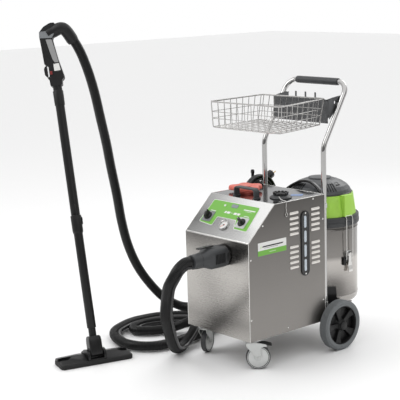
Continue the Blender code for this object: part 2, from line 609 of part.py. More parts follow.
def hose_and_plug():
    socket = [(0.0240, -0.0050), (0.0360, -0.0050), (0.0360, -GAP), (0.0290, -GAP), (0.0290, 0.0600), (0.0240, 0.0600)]
    turned("hose_socket", socket, black(), 24, frame=at(SOCKET, (0, 1, 0)))
    body = [(0, 0.0053), (0.0400, 0.0053), (0.0430, 0.0200), (0.0430, 0.0900), (0.0330, 0.1150), (0.0290, 0.1720),
            (0, 0.1720)]
    turned("hose_plug", body, grey(), 16, frame=at(SOCKET, (0, -1, 0)))
    latch = [(-0.035, -0.0020), (0.0, -0.0015), (0.044, 0.0), (0.044, 0.0045), (0.0, 0.0045), (-0.035, 0.0030)]
    prism("plug_latch", latch, -0.009, 0.009, black(), "YZ", frame=at(SOCKET + Vector((0, -0.104, 0.0465))))
    tube("steam_hose", smooth_route(HOSE_ROUTE, 0.135, 0.66), HOSE_R, black(), 3)


# ---------------------------------------------------------------- wand and floor nozzle
def wand():
    """The wand's frame has Z up its tube, and X towards the hose."""
    along = at(WAND_FOOT, WAND_AXIS, (0.651, 0.759, 0))
    low, high = 0.0, WAND_JOINT
    lower = [(0, low), (WAND_TUBE_R, low), (WAND_TUBE_R, high - 0.020), (0.0225, high - 0.018), (0.0225, high),
             (0, high)]
    turned("lower_tube", lower, black(), 16, frame=along)
    upper = [(0, high + GAP), (WAND_TUBE_R, high + GAP), (WAND_TUBE_R, WAND_TOP + 0.010), (0, WAND_TOP + 0.010)]
    turned("upper_tube", upper, black(), 16, frame=along)

    grip = along @ Matrix.Translation((0, 0, WAND_TOP))
    outline = [(0.024, 0.0103), (0.025, 0.032), (0.036, 0.040), (0.037, 0.050), (0.031, 0.075), (0.021, 0.122),
               (0.0145, 0.166), (0.007, 0.213), (0.021, 0.231), (0.029, 0.279), (0.008, 0.281), (-0.022, 0.268),
               (-0.0435, 0.246), (-0.045, 0.223), (-0.042, 0.174), (-0.040, 0.120), (-0.0395, 0.105),
               (-0.0235, 0.100), (-0.0235, 0.052), (-0.0350, 0.048), (-0.027, 0.040), (-0.026, 0.0103)]
    prism("wand_handle", outline, -0.0210, 0.0210, grey(), "XZ", frame=grip)
    trigger = [(0.0045, -0.0440), (0.0045, 0.0020), (-0.0035, 0.0040), (-0.0100, -0.0080), (-0.0090, -0.0340),
               (-0.0010, -0.0440)]
    hinge = grip @ Matrix.Translation((-0.0350, 0, 0.0970))
    prism("steam_trigger", trigger, -0.0120, 0.0120, black(), "XZ", frame=hinge)
    block("safety_slide", (-0.005, -0.0018, -0.007), (0.005, 0.0018, 0.007), red(),
          frame=grip @ Matrix.Translation((-0.015, -0.0232, 0.067)))


def nozzle():
    """The hinge lies along the nozzle, where the wand's axis meets it."""
    reach = (NOZZLE_HINGE_Z - WAND_FOOT.z) / WAND_AXIS.z
    hinge = WAND_FOOT + WAND_AXIS * reach
    frame = at(hinge, (0, 0, 1), NOZZLE_LONG)
    barrel = [(0, -0.0290), (0.0200, -0.0290), (0.0200, 0.0290), (0, 0.0290)]
    neck = turned("nozzle_neck", barrel, black(), 16, frame=at(hinge, NOZZLE_LONG))
    stub = [(0, 0.0), (0.0170, 0.0), (0.0150, 0.050), (0.0150, -reach - GAP), (0, -reach - GAP)]
    combine(neck, turned("join_nozzle_stub", stub, None, 16, frame=at(hinge, WAND_AXIS)), "UNION")

    z0 = -NOZZLE_HINGE_Z
    half = NOZZLE_HALF
    right = [(half, z0), (half, z0 + 0.036), (half - 0.008, z0 + 0.042), (0.040, z0 + 0.042), (0.038, z0 + 0.058),
             (0.0300, z0 + 0.058), (0.0300, z0 + 0.026)]
    outline = right + [(-u, v) for u, v in right[::-1]]
    prism("nozzle_body", outline, -0.032, 0.068, black(), "XZ", frame=frame)


def build():
    clear_scene()
    housing()
    internals()
    controls()
    handle()
    basket()
    running_gear()
    vacuum()
    mains_cable()
    hose_and_plug()
    wand()
    nozzle()


build()
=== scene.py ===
"""Looks of a commercial steam cleaner with a wet/dry vacuum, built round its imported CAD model.

Metres, +Z up.  Pieces are made in the cart's own frame: X = 0 on its centre plane, Y = 0 on its front
panel, Z = 0 on the floor, +Y to the rear.  CART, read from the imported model, moves them into the row frame.
"""
import json
import math
import random

import bmesh
import bpy
from mathutils import Matrix, Vector

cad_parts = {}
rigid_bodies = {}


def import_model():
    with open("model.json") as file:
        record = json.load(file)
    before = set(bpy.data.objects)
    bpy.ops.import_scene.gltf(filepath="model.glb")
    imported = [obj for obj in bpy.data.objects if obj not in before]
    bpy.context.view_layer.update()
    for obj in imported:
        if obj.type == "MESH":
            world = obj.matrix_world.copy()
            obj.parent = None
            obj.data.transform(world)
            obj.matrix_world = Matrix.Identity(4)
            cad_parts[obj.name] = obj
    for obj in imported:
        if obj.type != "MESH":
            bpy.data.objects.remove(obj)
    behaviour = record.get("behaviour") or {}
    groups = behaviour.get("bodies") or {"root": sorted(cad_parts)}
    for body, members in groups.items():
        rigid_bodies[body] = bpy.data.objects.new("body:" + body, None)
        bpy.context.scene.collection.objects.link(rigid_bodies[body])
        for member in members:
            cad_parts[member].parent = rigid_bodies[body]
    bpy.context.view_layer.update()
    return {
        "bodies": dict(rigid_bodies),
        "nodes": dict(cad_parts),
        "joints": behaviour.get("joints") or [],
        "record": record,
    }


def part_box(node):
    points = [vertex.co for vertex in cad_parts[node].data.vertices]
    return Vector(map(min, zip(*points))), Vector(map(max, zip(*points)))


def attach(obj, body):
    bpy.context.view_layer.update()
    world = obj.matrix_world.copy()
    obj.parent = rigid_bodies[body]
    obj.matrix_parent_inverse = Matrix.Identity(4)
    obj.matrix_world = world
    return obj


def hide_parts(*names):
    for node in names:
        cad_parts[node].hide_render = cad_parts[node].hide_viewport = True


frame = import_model()

# ---------------------------------------------------------------- places and sizes from the frame
left_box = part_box("left_side_panel")
right_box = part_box("right_side_panel")
CART = Vector(((left_box[0][0] + right_box[1][0]) / 2, right_box[0][1], 0.0))
HALF = (right_box[1][0] - left_box[0][0]) / 2
DEPTH = right_box[1][1] - right_box[0][1]
BASE_Z = right_box[0][2]
TOP_Z = right_box[1][2]
FRONT_TOP = 0.534
SLANT_DEPTH = 0.146
SLOPE = Vector((0, SLANT_DEPTH, TOP_Z - FRONT_TOP)).normalized()
SLOPE_OUT = Vector((0, -SLOPE.z, SLOPE.y))

SOCKET = Vector((0.043, 0.0, 0.467))
FILLER = Vector((0.108, 0.262, TOP_Z))
BOILER_CAP = Vector((-0.100, 0.262, TOP_Z))
VAC = Vector((-0.004, 0.612, 0.0))
HANDLE_X = 0.1745
TUBE_R = 0.0110
HANDLE_Y = DEPTH + TUBE_R + 0.0003
HANDLE_TOP = (0.600, 1.118)
BASKET_Z = (0.950, 1.058)
BASKET_RIM = [(-0.180, 0.142), (0.214, 0.163), (0.145, 0.4905), (-0.203, 0.467)]
BASKET_FLOOR = [(-0.177, 0.148), (0.207, 0.168), (0.141, 0.4665), (-0.199, 0.443)]
BACK_PLATE_Y = 0.4935
GAUGE_ZERO = 135.0

CASTER_X = 0.144
CASTER_Y = 0.050
CASTER_TRAIL = 0.025
CASTER_R = 0.050
WHEEL_IN = 0.198
WHEEL_OUT = 0.243
WHEEL_CENTRE = (0.2205, 0.490, 0.106)

DRUM_R = 0.162
DRUM_Z = (0.164, 0.503)
RING_R = 0.168
RING_TOP = 0.545
BAND_TOP = 0.635
DOME_R = 0.135
DOME_TOP = 0.701
LATCH_R = 0.172
LATCH_Z = 0.384

WAND_FOOT = Vector((-0.4050, -0.3470, 0.1440))
WAND_AXIS = Vector((-0.2672, 0.0716, 0.9610)).normalized()
WAND_JOINT = 0.474
WAND_TOP = 1.014
NOZZLE_LONG = Vector((0.259, 0.966, 0.0)).normalized()
NOZZLE_HINGE_Z = 0.048
NOZZLE_HALF = 0.158

HANK = Vector((-0.2150, 0.4500, 0.6120))
PLUG_FOOT = Vector((-0.2490, 0.5160, 0.6740))
PLUG_AIM = Vector((0, 0.4, 0.2)).normalized()
MAINS_R = 0.0050

# Steam and suction hose: from the plug down to the floor, two turns there, up to the wand.
HOSE_ROUTE = [
    (0.043, -0.178, 0.467), (0.043, -0.205, 0.466), (0.042, -0.237, 0.448), (0.035, -0.255, 0.420),
    (0.017, -0.268, 0.377), (-0.006, -0.261, 0.319), (-0.052, -0.230, 0.241), (-0.107, -0.175, 0.160),
    (-0.152, -0.124, 0.092), (-0.190, -0.078, 0.045), (-0.214, -0.036, 0.026), (-0.234, 0.010, 0.026),
    (-0.251, 0.054, 0.042), (-0.270, 0.098, 0.064), (-0.302, 0.138, 0.077), (-0.346, 0.166, 0.078),
    (-0.398, 0.163, 0.058), (-0.446, 0.130, 0.034), (-0.482, 0.082, 0.025),
    (-0.518, 0.024, 0.025), (-0.560, -0.001, 0.025), (-0.596, 0.024, 0.025), (-0.606, 0.080, 0.025),
    (-0.585, 0.150, 0.025), (-0.546, 0.215, 0.025), (-0.494, 0.266, 0.025), (-0.432, 0.290, 0.025),
    (-0.370, 0.278, 0.025), (-0.330, 0.226, 0.025), (-0.311, 0.160, 0.025), (-0.305, 0.090, 0.025),
    (-0.302, 0.010, 0.025), (-0.312, -0.070, 0.025), (-0.362, -0.130, 0.025), (-0.440, -0.150, 0.025),
    (-0.522, -0.132, 0.025), (-0.598, -0.086, 0.025), (-0.641, -0.014, 0.025), (-0.664, 0.064, 0.025),
    (-0.660, 0.140, 0.025), (-0.640, 0.212, 0.025), (-0.595, 0.282, 0.025), (-0.532, 0.338, 0.025),
    (-0.456, 0.370, 0.028), (-0.380, 0.370, 0.038), (-0.325, 0.332, 0.060), (-0.325, 0.280, 0.082),
    (-0.372, 0.248, 0.096), (-0.432, 0.238, 0.103), (-0.492, 0.213, 0.101), (-0.544, 0.164, 0.136),
    (-0.591, 0.125, 0.194), (-0.634, 0.083, 0.281), (-0.659, 0.050, 0.383), (-0.672, 0.028, 0.495),
    (-0.677, 0.010, 0.623), (-0.682, -0.012, 0.749), (-0.682, -0.031, 0.855), (-0.681, -0.057, 0.968),
    (-0.680, -0.086, 1.092), (-0.682, -0.120, 1.201), (-0.689, -0.158, 1.290), (-0.704, -0.209, 1.365),
    (-0.721, -0.228, 1.366),
]
# Mains cable: from its gland on the rear panel up to the hank on its hook.
MAINS_ROUTE = [
    (-0.150, 0.4200, 0.300), (-0.150, 0.440, 0.300), (-0.150, 0.456, 0.3005), (-0.158, 0.470, 0.306),
    (-0.172, 0.482, 0.325),
    (-0.188, 0.487, 0.355), (-0.201, 0.484, 0.390), (-0.209, 0.476, 0.425), (-0.2135, 0.468, 0.460),
    (-0.2135, 0.463, 0.490), (-0.2135, 0.461, 0.5085),
]
STEAM_SIDE = math.radians(200)


# ---------------------------------------------------------------- mesh helpers
def at(point, direction=(0, 0, 1), across=None):
    """A frame with its Z axis along a direction, and its X as near as can be to another."""
    z = Vector(direction).normalized()
    across = Vector(across or ((0, 1, 0) if abs(z.x) > 0.9 else (1, 0, 0)))
    x = (across - z * z.dot(across)).normalized()
    turn = Matrix((x, z.cross(x), z)).transposed()
    return Matrix.Translation(Vector(point)) @ turn.to_4x4()


def moved(point):
    return Matrix.Translation(Vector(point))


def on_slope(u, v, lift=0.0):
    """A point on the slanted panel: u across it, v up it, lift off it."""
    return Vector((u, 0, FRONT_TOP)) + SLOPE * v + SLOPE_OUT * lift


def circle(radius, count, centre=(0, 0), start=0.0, sweep=2 * math.pi):
    """Points of an arc; a full circle leaves out its repeated last point."""
    last = count if abs(sweep) >= 2 * math.pi else count - 1
    angles = [start + sweep * i / last for i in range(count)]
    return [(centre[0] + radius * math.cos(a), centre[1] + radius * math.sin(a)) for a in angles]


def stadium(half_length, radius, steps=9):
    """A slot with round ends, lying along the first axis."""
    reach = half_length - radius
    right = circle(radius, steps, (reach, 0), -math.pi / 2, math.pi)
    return right + circle(radius, steps, (-reach, 0), math.pi / 2, math.pi)


def rounded(outline, radius, steps=5):
    """The outline with each corner turned into an arc of about this radius."""
    points = []
    count = len(outline)
    for i, corner in enumerate(outline):
        corner = Vector(corner)
        before = Vector(outline[i - 1]) - corner
        after = Vector(outline[(i + 1) % count]) - corner
        reach = min(radius, before.length * 0.45, after.length * 0.45)
        one = corner + before.normalized() * reach
        two = corner + after.normalized() * reach
        for k in range(steps + 1):
            t = k / steps
            points.append(tuple(one * (1 - t) ** 2 + corner * (2 * t * (1 - t)) + two * t * t))
    return points


def add_turned(bm, profile, segments=48, frame=None):
    """Turn a closed (radius, height) profile about Z; points on the axis become single vertices."""
    rings = []
    frame = frame or Matrix()
    for radius, height in profile:
        angles = [0.0] if radius == 0 else [2 * math.pi * i / segments for i in range(segments)]
        rings.append([bm.verts.new(frame @ Vector((radius * math.cos(a), radius * math.sin(a), height)))
                      for a in angles])
    for one, two in zip(rings, rings[1:] + rings[:1]):
        for i in range(segments):
            j = (i + 1) % segments
            corners = [one[i % len(one)], one[j % len(one)], two[j % len(two)], two[i % len(two)]]
            unique = list(dict.fromkeys(corners))
            if len(unique) > 2:
                bm.faces.new(unique)


def add_prism(bm, outline, low, high, plane="XY", frame=None):
    """A flat outline pushed from low to high along the axis normal to its plane."""
    axes = {"XY": lambda u, v, w: (u, v, w), "XZ": lambda u, v, w: (u, w, v), "YZ": lambda u, v,
            w: (w, u, v)}
    frame = frame or Matrix()
    near = [bm.verts.new(frame @ Vector(axes[plane](u, v, low))) for u, v in outline]
    far = [bm.verts.new(frame @ Vector(axes[plane](u, v, high))) for u, v in outline]
    bm.faces.new(near)
    bm.faces.new(far)
    for i in range(len(outline)):
        bm.faces.new((near[i - 1], near[i], far[i], far[i - 1]))


def add_box(bm, low, high, frame=None):
    add_prism(bm, [(low[0], low[1]), (high[0], low[1]), (high[0], high[1]), (low[0], high[1])],
              low[2], high[2], "XY", frame)


def add_loft(bm, rings):
    """Join rings of equal count, and close the first and the last."""
    loops = [[bm.verts.new(p) for p in ring] for ring in rings]
    for one, two in zip(loops, loops[1:]):
        for i in range(len(one)):
            bm.faces.new((one[i - 1], one[i], two[i], two[i - 1]))
    bm.faces.new(loops[0])
    bm.faces.new(loops[-1])


def densely(outline, steps):
    """The closed outline with each side cut into equal steps."""
    points = []
    for i, (u, v) in enumerate(outline):
        u2, v2 = outline[(i + 1) % len(outline)]
        points += [(u + (u2 - u) * k / steps, v + (v2 - v) * k / steps) for k in range(steps)]
    return points


def add_washer(bm, outer, inner, low, high, plane="XY"):
    """A flat plate between an outline and a hole of as many points."""
    axes = {"XY": lambda u, v, w: (u, v, w), "XZ": lambda u, v, w: (u, w, v), "YZ": lambda u, v,
            w: (w, u, v)}
    loops = [[bm.verts.new(Vector(axes[plane](u, v, w))) for u, v in line]
             for line, w in ((outer, low), (outer, high), (inner, high), (inner, low))]
    for one, two in zip(loops, loops[1:] + loops[:1]):
        for i in range(len(one)):
            bm.faces.new((one[i - 1], one[i], two[i], two[i - 1]))


def frames_along(points, across=None):
    """A frame at each point of a path, turned as little as possible from one to the next."""
    result = []
    x = Vector(across) if across else None
    for i, point in enumerate(points):
        ahead = points[min(i + 1, len(points) - 1)] - points[max(i - 1, 0)]
        z = ahead.normalized()
        if x is None:
            x = z.orthogonal()
        x = (x - z * z.dot(x)).normalized()
        result.append((point, x, z.cross(x)))
    return result


def add_sweep(bm, points, section, closed=False, across=None, scales=None):
    """Carry a (u, v) section along a path, scaled at each point where scales says so."""
    points = [Vector(p) for p in points]
    rings = []
    for i, (point, x, y) in enumerate(frames_along(points, across)):
        size = scales[i] if scales else 1.0
        rings.append([bm.verts.new(point + x * (u * size) + y * (v * size)) for u, v in section])
    pairs = list(zip(rings, rings[1:]))
    if closed:
        pairs.append((rings[-1], rings[0]))
    for one, two in pairs:
        for i in range(len(section)):
            bm.faces.new((one[i - 1], one[i], two[i], two[i - 1]))
    if not closed:
        bm.faces.new(rings[0])
        bm.faces.new(rings[-1])


def add_wire(bm, points, radius, sides=8, closed=False):
    add_sweep(bm, points, circle(radius, sides), closed)


def bent(corners, radii, steps=8):
    """Straight runs joined by arcs of the given radii."""
    points = [Vector(corners[0])]
    for before, corner, after, radius in zip(corners, corners[1:], corners[2:], radii):
        corner = Vector(corner)
        one = (Vector(before) - corner).normalized()
        two = (Vector(after) - corner).normalized()
        half = one.angle(two) / 2
        centre = corner + (one + two).normalized() * (radius / math.sin(half))
        first = (corner + one * (radius / math.tan(half)) - centre).normalized()
        last = (corner + two * (radius / math.tan(half)) - centre).normalized()
        points += [centre + first.slerp(last, i / steps) * radius for i in range(steps + 1)]
    return points + [Vector(corners[-1])]


def smooth_route(route, spacing):
    """Evenly spaced points of a smooth curve through the route's own points."""
    knots = [Vector(p) for p in route]
    ends = [2 * knots[0] - knots[1]] + knots + [2 * knots[-1] - knots[-2]]
    dense = [knots[0]]
    for a, b, c, d in zip(ends, ends[1:], ends[2:], ends[3:]):
        for i in range(1, 25):
            t = i / 24
            dense.append(0.5 * (2 * b + (c - a) * t + (2 * a - 5 * b + 4 * c - d) * t * t
                                + (3 * b - a - 3 * c + d) * t ** 3))
    total = sum((q - p).length for p, q in zip(dense, dense[1:]))
    count = max(2, round(total / spacing))
    step, run, points = total / count, 0.0, [dense[0]]
    for p, q in zip(dense, dense[1:]):
        length = (q - p).length
        while len(points) < count and run + length >= step * len(points):
            points.append(p.lerp(q, (step * len(points) - run) / length))
        run += length
    return points + [dense[-1]]


def piece(name, build, material, body="cart", replaces=(), place=None, bevel=0.0, sharp=35.0):
    """Make one object from a function that fills a bmesh, and tie it to the frame."""
    bm = bmesh.new()
    build(bm)
    bmesh.ops.recalc_face_normals(bm, faces=bm.faces)
    mesh = bpy.data.meshes.new(name)
    bm.to_mesh(mesh)
    bm.free()
    mesh.shade_smooth()
    mesh.set_sharp_from_angle(angle=math.radians(sharp))
    mesh.materials.append(material)
    obj = bpy.data.objects.new(name, mesh)
    bpy.context.collection.objects.link(obj)
    obj.matrix_world = moved(CART) @ (place or Matrix())
    if bevel:
        round_edges = obj.modifiers.new("Round edges", "BEVEL")
        round_edges.width = bevel
        round_edges.segments = 2
        round_edges.limit_method = "ANGLE"
        round_edges.angle_limit = math.radians(sharp)
        round_edges.harden_normals = True
    bpy.context.view_layer.update()
    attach(obj, body)
    if replaces:
        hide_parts(*replaces)
    return obj


# ---------------------------------------------------------------- materials
def painted_shading(nodes, links, where, color, direction, stops):
    """The colour times a tone that follows the stops along a direction: painted shade and painted highlight.
    """
    reach = nodes.new("ShaderNodeVectorMath")
    reach.operation = "DOT_PRODUCT"
    reach.inputs[1].default_value = direction
    links.new(where, reach.inputs[0])
    ramp = nodes.new("ShaderNodeValToRGB")
    points = ramp.color_ramp.elements
    while len(points) < len(stops):
        points.new(0.5)
    for point, (distance, tone) in zip(points, stops):
        point.position = distance
        point.color = (tone, tone, tone, 1)
    links.new(reach.outputs["Value"], ramp.inputs["Fac"])
    product = nodes.new("ShaderNodeMix")
    product.data_type = "RGBA"
    product.blend_type = "MULTIPLY"
    product.inputs["Factor"].default_value = 1.0
    links.new(color, product.inputs["A"])
    links.new(ramp.outputs["Color"], product.inputs["B"])
    return product.outputs["Result"]


def surface(name, color, rough, metallic=0.0, grain=(60, 60, 60), bump=0.05, depth=0.0004, shade=0.06,
            rough_shift=0.06, coat=0.0, speckle=0.0, painted_shade=None, gleam=0.5):
    """A Principled material with colour, roughness and relief that vary along a stretched noise.

    Painted shade and painted highlight come as a direction and (distance along it, tone) stops, for sheets
    that darken from one end to the other.
    """
    made = bpy.data.materials.new(name)
    made.use_nodes = True
    nodes, links = made.node_tree.nodes, made.node_tree.links
    shader = nodes["Principled BSDF"]
    shader.inputs["Metallic"].default_value = metallic
    shader.inputs["Coat Weight"].default_value = coat
    shader.inputs["Specular IOR Level"].default_value = gleam
    where = nodes.new("ShaderNodeTexCoord")
    stretch = nodes.new("ShaderNodeMapping")
    stretch.inputs["Scale"].default_value = grain
    links.new(where.outputs["Object"], stretch.inputs["Vector"])
    fine = nodes.new("ShaderNodeTexNoise")
    fine.inputs["Scale"].default_value = 1.0
    fine.inputs["Detail"].default_value = 4.0
    links.new(stretch.outputs["Vector"], fine.inputs["Vector"])
    broad = nodes.new("ShaderNodeTexNoise")
    broad.inputs["Scale"].default_value = 9.0
    broad.inputs["Detail"].default_value = 3.0
    links.new(where.outputs["Object"], broad.inputs["Vector"])

    tint = nodes.new("ShaderNodeMix")
    tint.data_type = "RGBA"
    tint.inputs["A"].default_value = (*[c * (1 - shade) for c in color], 1)
    tint.inputs["B"].default_value = (*[min(1.0, c * (1 + shade)) for c in color], 1)
    blend = nodes.new("ShaderNodeMath")
    blend.operation = "ADD"
    links.new(fine.outputs["Fac"], blend.inputs[0])
    links.new(broad.outputs["Fac"], blend.inputs[1])
    halve = nodes.new("ShaderNodeMath")
    halve.operation = "MULTIPLY"
    halve.inputs[1].default_value = 0.5
    links.new(blend.outputs[0], halve.inputs[0])
    links.new(halve.outputs[0], tint.inputs["Factor"])
    color_out = tint.outputs["Result"]
    # painted shade and painted highlight: the colour darkens and lightens along a direction
    if painted_shade:
        color_out = painted_shading(nodes, links, where.outputs["Object"], color_out, *painted_shade)
    links.new(color_out, shader.inputs["Base Color"])

    level = nodes.new("ShaderNodeMapRange")
    level.inputs["To Min"].default_value = max(0.02, rough - rough_shift)
    level.inputs["To Max"].default_value = rough + rough_shift
    links.new(halve.outputs[0], level.inputs["Value"])
    links.new(level.outputs["Result"], shader.inputs["Roughness"])

    relief = nodes.new("ShaderNodeBump")
    relief.inputs["Strength"].default_value = bump
    relief.inputs["Distance"].default_value = depth
    height = fine.outputs["Fac"]
    if speckle:
        pits = nodes.new("ShaderNodeTexVoronoi")
        pits.inputs["Scale"].default_value = speckle
        links.new(where.outputs["Object"], pits.inputs["Vector"])
        height = pits.outputs["Distance"]
    links.new(height, relief.inputs["Height"])
    links.new(relief.outputs["Normal"], shader.inputs["Normal"])
    return made


ACROSS, UPRIGHT, ALONG = (6, 500, 500), (500, 500, 6), (500, 6, 500)
M = {
    # Side steel: painted shade, darker towards the top of the sheets.
    "side_steel": surface("side_steel", (0.30, 0.285, 0.27), 0.36, 1.0, ALONG, 0.10, 0.0002, 0.08,
                          painted_shade=((0, 0, 1), ((0.13, 1.0), (0.30, 0.86), (0.50, 0.66), (0.67, 0.38)))),
    # Front steel: painted shade in a band near the bottom and under the bend at the top, lighter between.
    "front_steel": surface("front_steel", (0.50, 0.48, 0.455), 0.27, 1.0, ACROSS, 0.10, 0.0002, 0.08,
                           painted_shade=((0, 0, 1), ((0.13, 0.85), (0.19, 0.62), (0.27, 0.90), (0.38, 1.0),
                                             (0.46, 0.80),
                                             (0.525, 0.38)))),
    # Slanted steel: a lighter copy of the front steel, with painted shade towards the lower left and a
    # painted highlight towards the upper right.
    "slant_steel": surface("slant_steel", (0.80, 0.80, 0.79), 0.22, 1.0, ACROSS, 0.10, 0.0002, 0.08,
                           painted_shade=((1, 0, 1), ((0.34, 0.30), (0.50, 0.48), (0.62, 0.72), (0.74, 0.95),
                                             (0.86, 1.0)))),
    "top_steel": surface("top_steel", (0.26, 0.262, 0.27), 0.12, 1.0, ACROSS, 0.04, 0.0001, 0.08,
                         rough_shift=0.03),
    # Drum steel: painted shade at the foot and over the upper drum, with a painted highlight band between.
    "drum_steel": surface("drum_steel", (0.50, 0.475, 0.45), 0.26, 1.0, (40, 40, 700), 0.08, 0.0002, 0.08,
                          painted_shade=((0, 0, 1), ((0.16, 0.75), (0.24, 1.0), (0.355, 1.0), (0.375, 0.50),
                                            (0.50, 0.34)))),
    "chrome": surface("polished_chrome", (0.50, 0.495, 0.49), 0.08, 1.0, (90, 90, 90), 0.02, 0.0001, 0.03,
                      0.03),
    # Bright steel for screws, chain and latches; also laid on the front bend and the rolled edges as a
    # painted highlight.
    "bright_steel_and_highlight": surface("bright_steel_and_highlight", (0.72, 0.71, 0.69), 0.24, 1.0, (200, 200, 200), 0.06, 0.0001,
                            0.06),
    # Louvre steel: far lighter than the side sheet it is pressed from, a painted highlight.
    "louvre": surface("louvre_steel_painted_highlight", (0.80, 0.77, 0.73), 0.30, 1.0, ALONG, 0.08, 0.0002, 0.05),
    "dark_zinc": surface("dark_zinc", (0.135, 0.138, 0.142), 0.42, 0.8, (150, 150, 150), 0.12, 0.0002, 0.12),
    "caster_disc": surface("caster_disc", (0.64, 0.65, 0.64), 0.40, 0.6, (90, 90, 90), 0.10, 0.0002, 0.08),
    "dome": surface("dome_moulding", (0.062, 0.065, 0.070), 0.36, bump=0.15, speckle=1500.0, shade=0.15),
    "hub": surface("hub_black", (0.006, 0.006, 0.0063), 0.38, bump=0.15, speckle=1200.0, shade=0.25,
                   gleam=0.32),
    "cable": surface("cable_black", (0.013, 0.013, 0.014), 0.38, bump=0.06, shade=0.25),
    "nozzle_black": surface("nozzle_black", (0.009, 0.009, 0.0094), 0.30, bump=0.15, speckle=1500.0,
                            shade=0.25, gleam=0.32),
    "pale_green": surface("pale_green_print", (0.62, 0.80, 0.50), 0.40, bump=0.02, shade=0.03),
    "level_glass": surface("level_glass", (0.52, 0.58, 0.64), 0.12, bump=0.02, shade=0.10, coat=0.5),
    "wire": surface("plated_wire", (0.50, 0.49, 0.48), 0.22, 1.0, (200, 200, 200), 0.04, 0.0001, 0.08),
    "zinc": surface("zinc_plate", (0.55, 0.56, 0.55), 0.34, 1.0, (120, 120, 120), 0.10, 0.0002, 0.12),
    "black": surface("black_moulding", (0.011, 0.011, 0.0115), 0.42, bump=0.25, speckle=1400.0, shade=0.25,
                     gleam=0.32),
    "gloss_black": surface("gloss_black", (0.012, 0.012, 0.013), 0.16, bump=0.03, shade=0.20),
    "grey": surface("grey_moulding", (0.042, 0.044, 0.047), 0.45, bump=0.25, speckle=1400.0, shade=0.18),
    "hose": surface("hose_black", (0.007, 0.007, 0.0073), 0.34, bump=0.10, shade=0.30, gleam=0.32),
    "steam_line": surface("steam_line_black", (0.016, 0.016, 0.017), 0.16, bump=0.03, shade=0.20),
    "silver": surface("silver_moulding", (0.42, 0.42, 0.42), 0.38, 0.7, (120, 120, 120), 0.06, shade=0.05),
    "dark_red": surface("dark_red_moulding", (0.26, 0.03, 0.03), 0.38, bump=0.10, speckle=1400.0,
                        shade=0.07),
    "tube": surface("wand_tube_black", (0.008, 0.008, 0.0083), 0.40, grain=(300, 300, 10), bump=0.10,
                    shade=0.25, gleam=0.32),
    "green": surface("lime_moulding", (0.385, 0.68, 0.085), 0.42, bump=0.12, speckle=1600.0, shade=0.05),
    "panel_green": surface("printed_green", (0.165, 0.45, 0.055), 0.38, bump=0.02, shade=0.03),
    "red": surface("red_moulding", (0.72, 0.155, 0.115), 0.38, bump=0.10, speckle=1400.0, shade=0.07),
    "tyre": surface("grey_tread", (0.155, 0.165, 0.170), 0.72, bump=0.35, speckle=900.0, shade=0.12),
    "dark_tyre": surface("dark_tread", (0.045, 0.046, 0.048), 0.62, bump=0.30, speckle=900.0, shade=0.15),
    "white": surface("white_print", (0.80, 0.80, 0.78), 0.45, bump=0.02, shade=0.02),
    "pale": surface("pale_grey", (0.55, 0.56, 0.56), 0.42, bump=0.06, shade=0.03),
    "plate_grey": surface("plate_grey", (0.20, 0.21, 0.22), 0.45, bump=0.06, shade=0.05),
    "display": surface("display_grey", (0.24, 0.27, 0.28), 0.22, bump=0.02, shade=0.04),
    "blue": surface("blue_print", (0.20, 0.29, 0.50), 0.40, bump=0.02, shade=0.04),
    "tank": surface("tank_white", (0.62, 0.65, 0.66), 0.30, bump=0.03, shade=0.04),
    "brass": surface("cast_brass", (0.62, 0.45, 0.20), 0.38, 1.0, bump=0.15, shade=0.10),
    "bristle": surface("bristle_black", (0.012, 0.012, 0.012), 0.75, grain=(900, 900, 20), bump=0.6,
                       shade=0.35),
    "lens": surface("clear_lens", (0.90, 0.92, 0.92), 0.05, bump=0.0, shade=0.01, rough_shift=0.02),
}
glass = M["lens"].node_tree.nodes["Principled BSDF"]
glass.inputs["Transmission Weight"].default_value = 1.0
glass.inputs["IOR"].default_value = 1.3


def make(name, look, build, body="cart", replaces=(), place=None, bevel=0.0, sharp=35.0):
    return piece(name, build, M[look], body, replaces, place, bevel, sharp)


def paint(node, look):
    """Give a CAD node that stays in view its material."""
    obj = frame["nodes"][node]
    for material_slot in obj.material_slots:
        material_slot.material = M[look]


# ---------------------------------------------------------------- camera, lights and floor
def studio(towards_camera):
    """White to the camera; to everything else a bright ceiling and back wall, and a dark room behind
    the camera."""
    world = bpy.data.worlds.new("Studio")
    world.use_nodes = True
    nodes, links = world.node_tree.nodes, world.node_tree.links
    where = nodes.new("ShaderNodeTexCoord").outputs["Generated"]

    def level(direction, near, far, start, end):
        """A tone that runs from start to end as a ray turns towards a direction."""
        reach = nodes.new("ShaderNodeVectorMath")
        reach.operation = "DOT_PRODUCT"
        reach.inputs[1].default_value = direction
        links.new(where, reach.inputs[0])
        tone = nodes.new("ShaderNodeMapRange")
        tone.interpolation_type = "SMOOTHSTEP"
        for name, number in (("From Min", near), ("From Max", far), ("To Min", start), ("To Max", end)):
            tone.inputs[name].default_value = number
        links.new(reach.outputs["Value"], tone.inputs["Value"])
        return tone.outputs["Result"]

    def mixed(factor, one, two):
        blend = nodes.new("ShaderNodeMix")
        links.new(factor, blend.inputs["Factor"])
        for socket, value in ((blend.inputs["A"], one), (blend.inputs["B"], two)):
            if isinstance(value, float):
                socket.default_value = value
            else:
                links.new(value, socket)
        return blend.outputs["Result"]

    room = mixed(level((0, 0, 1), 0.25, 0.80, 0.0, 1.0), level(towards_camera, -0.20, 0.80, 0.72, 0.20),
                 1.15)
    seen = mixed(nodes.new("ShaderNodeLightPath").outputs["Is Camera Ray"], room, 1.0)
    links.new(seen, nodes["Background"].inputs["Strength"])
    nodes["Background"].inputs["Color"].default_value = (1.0, 1.0, 1.0, 1.0)
    return world


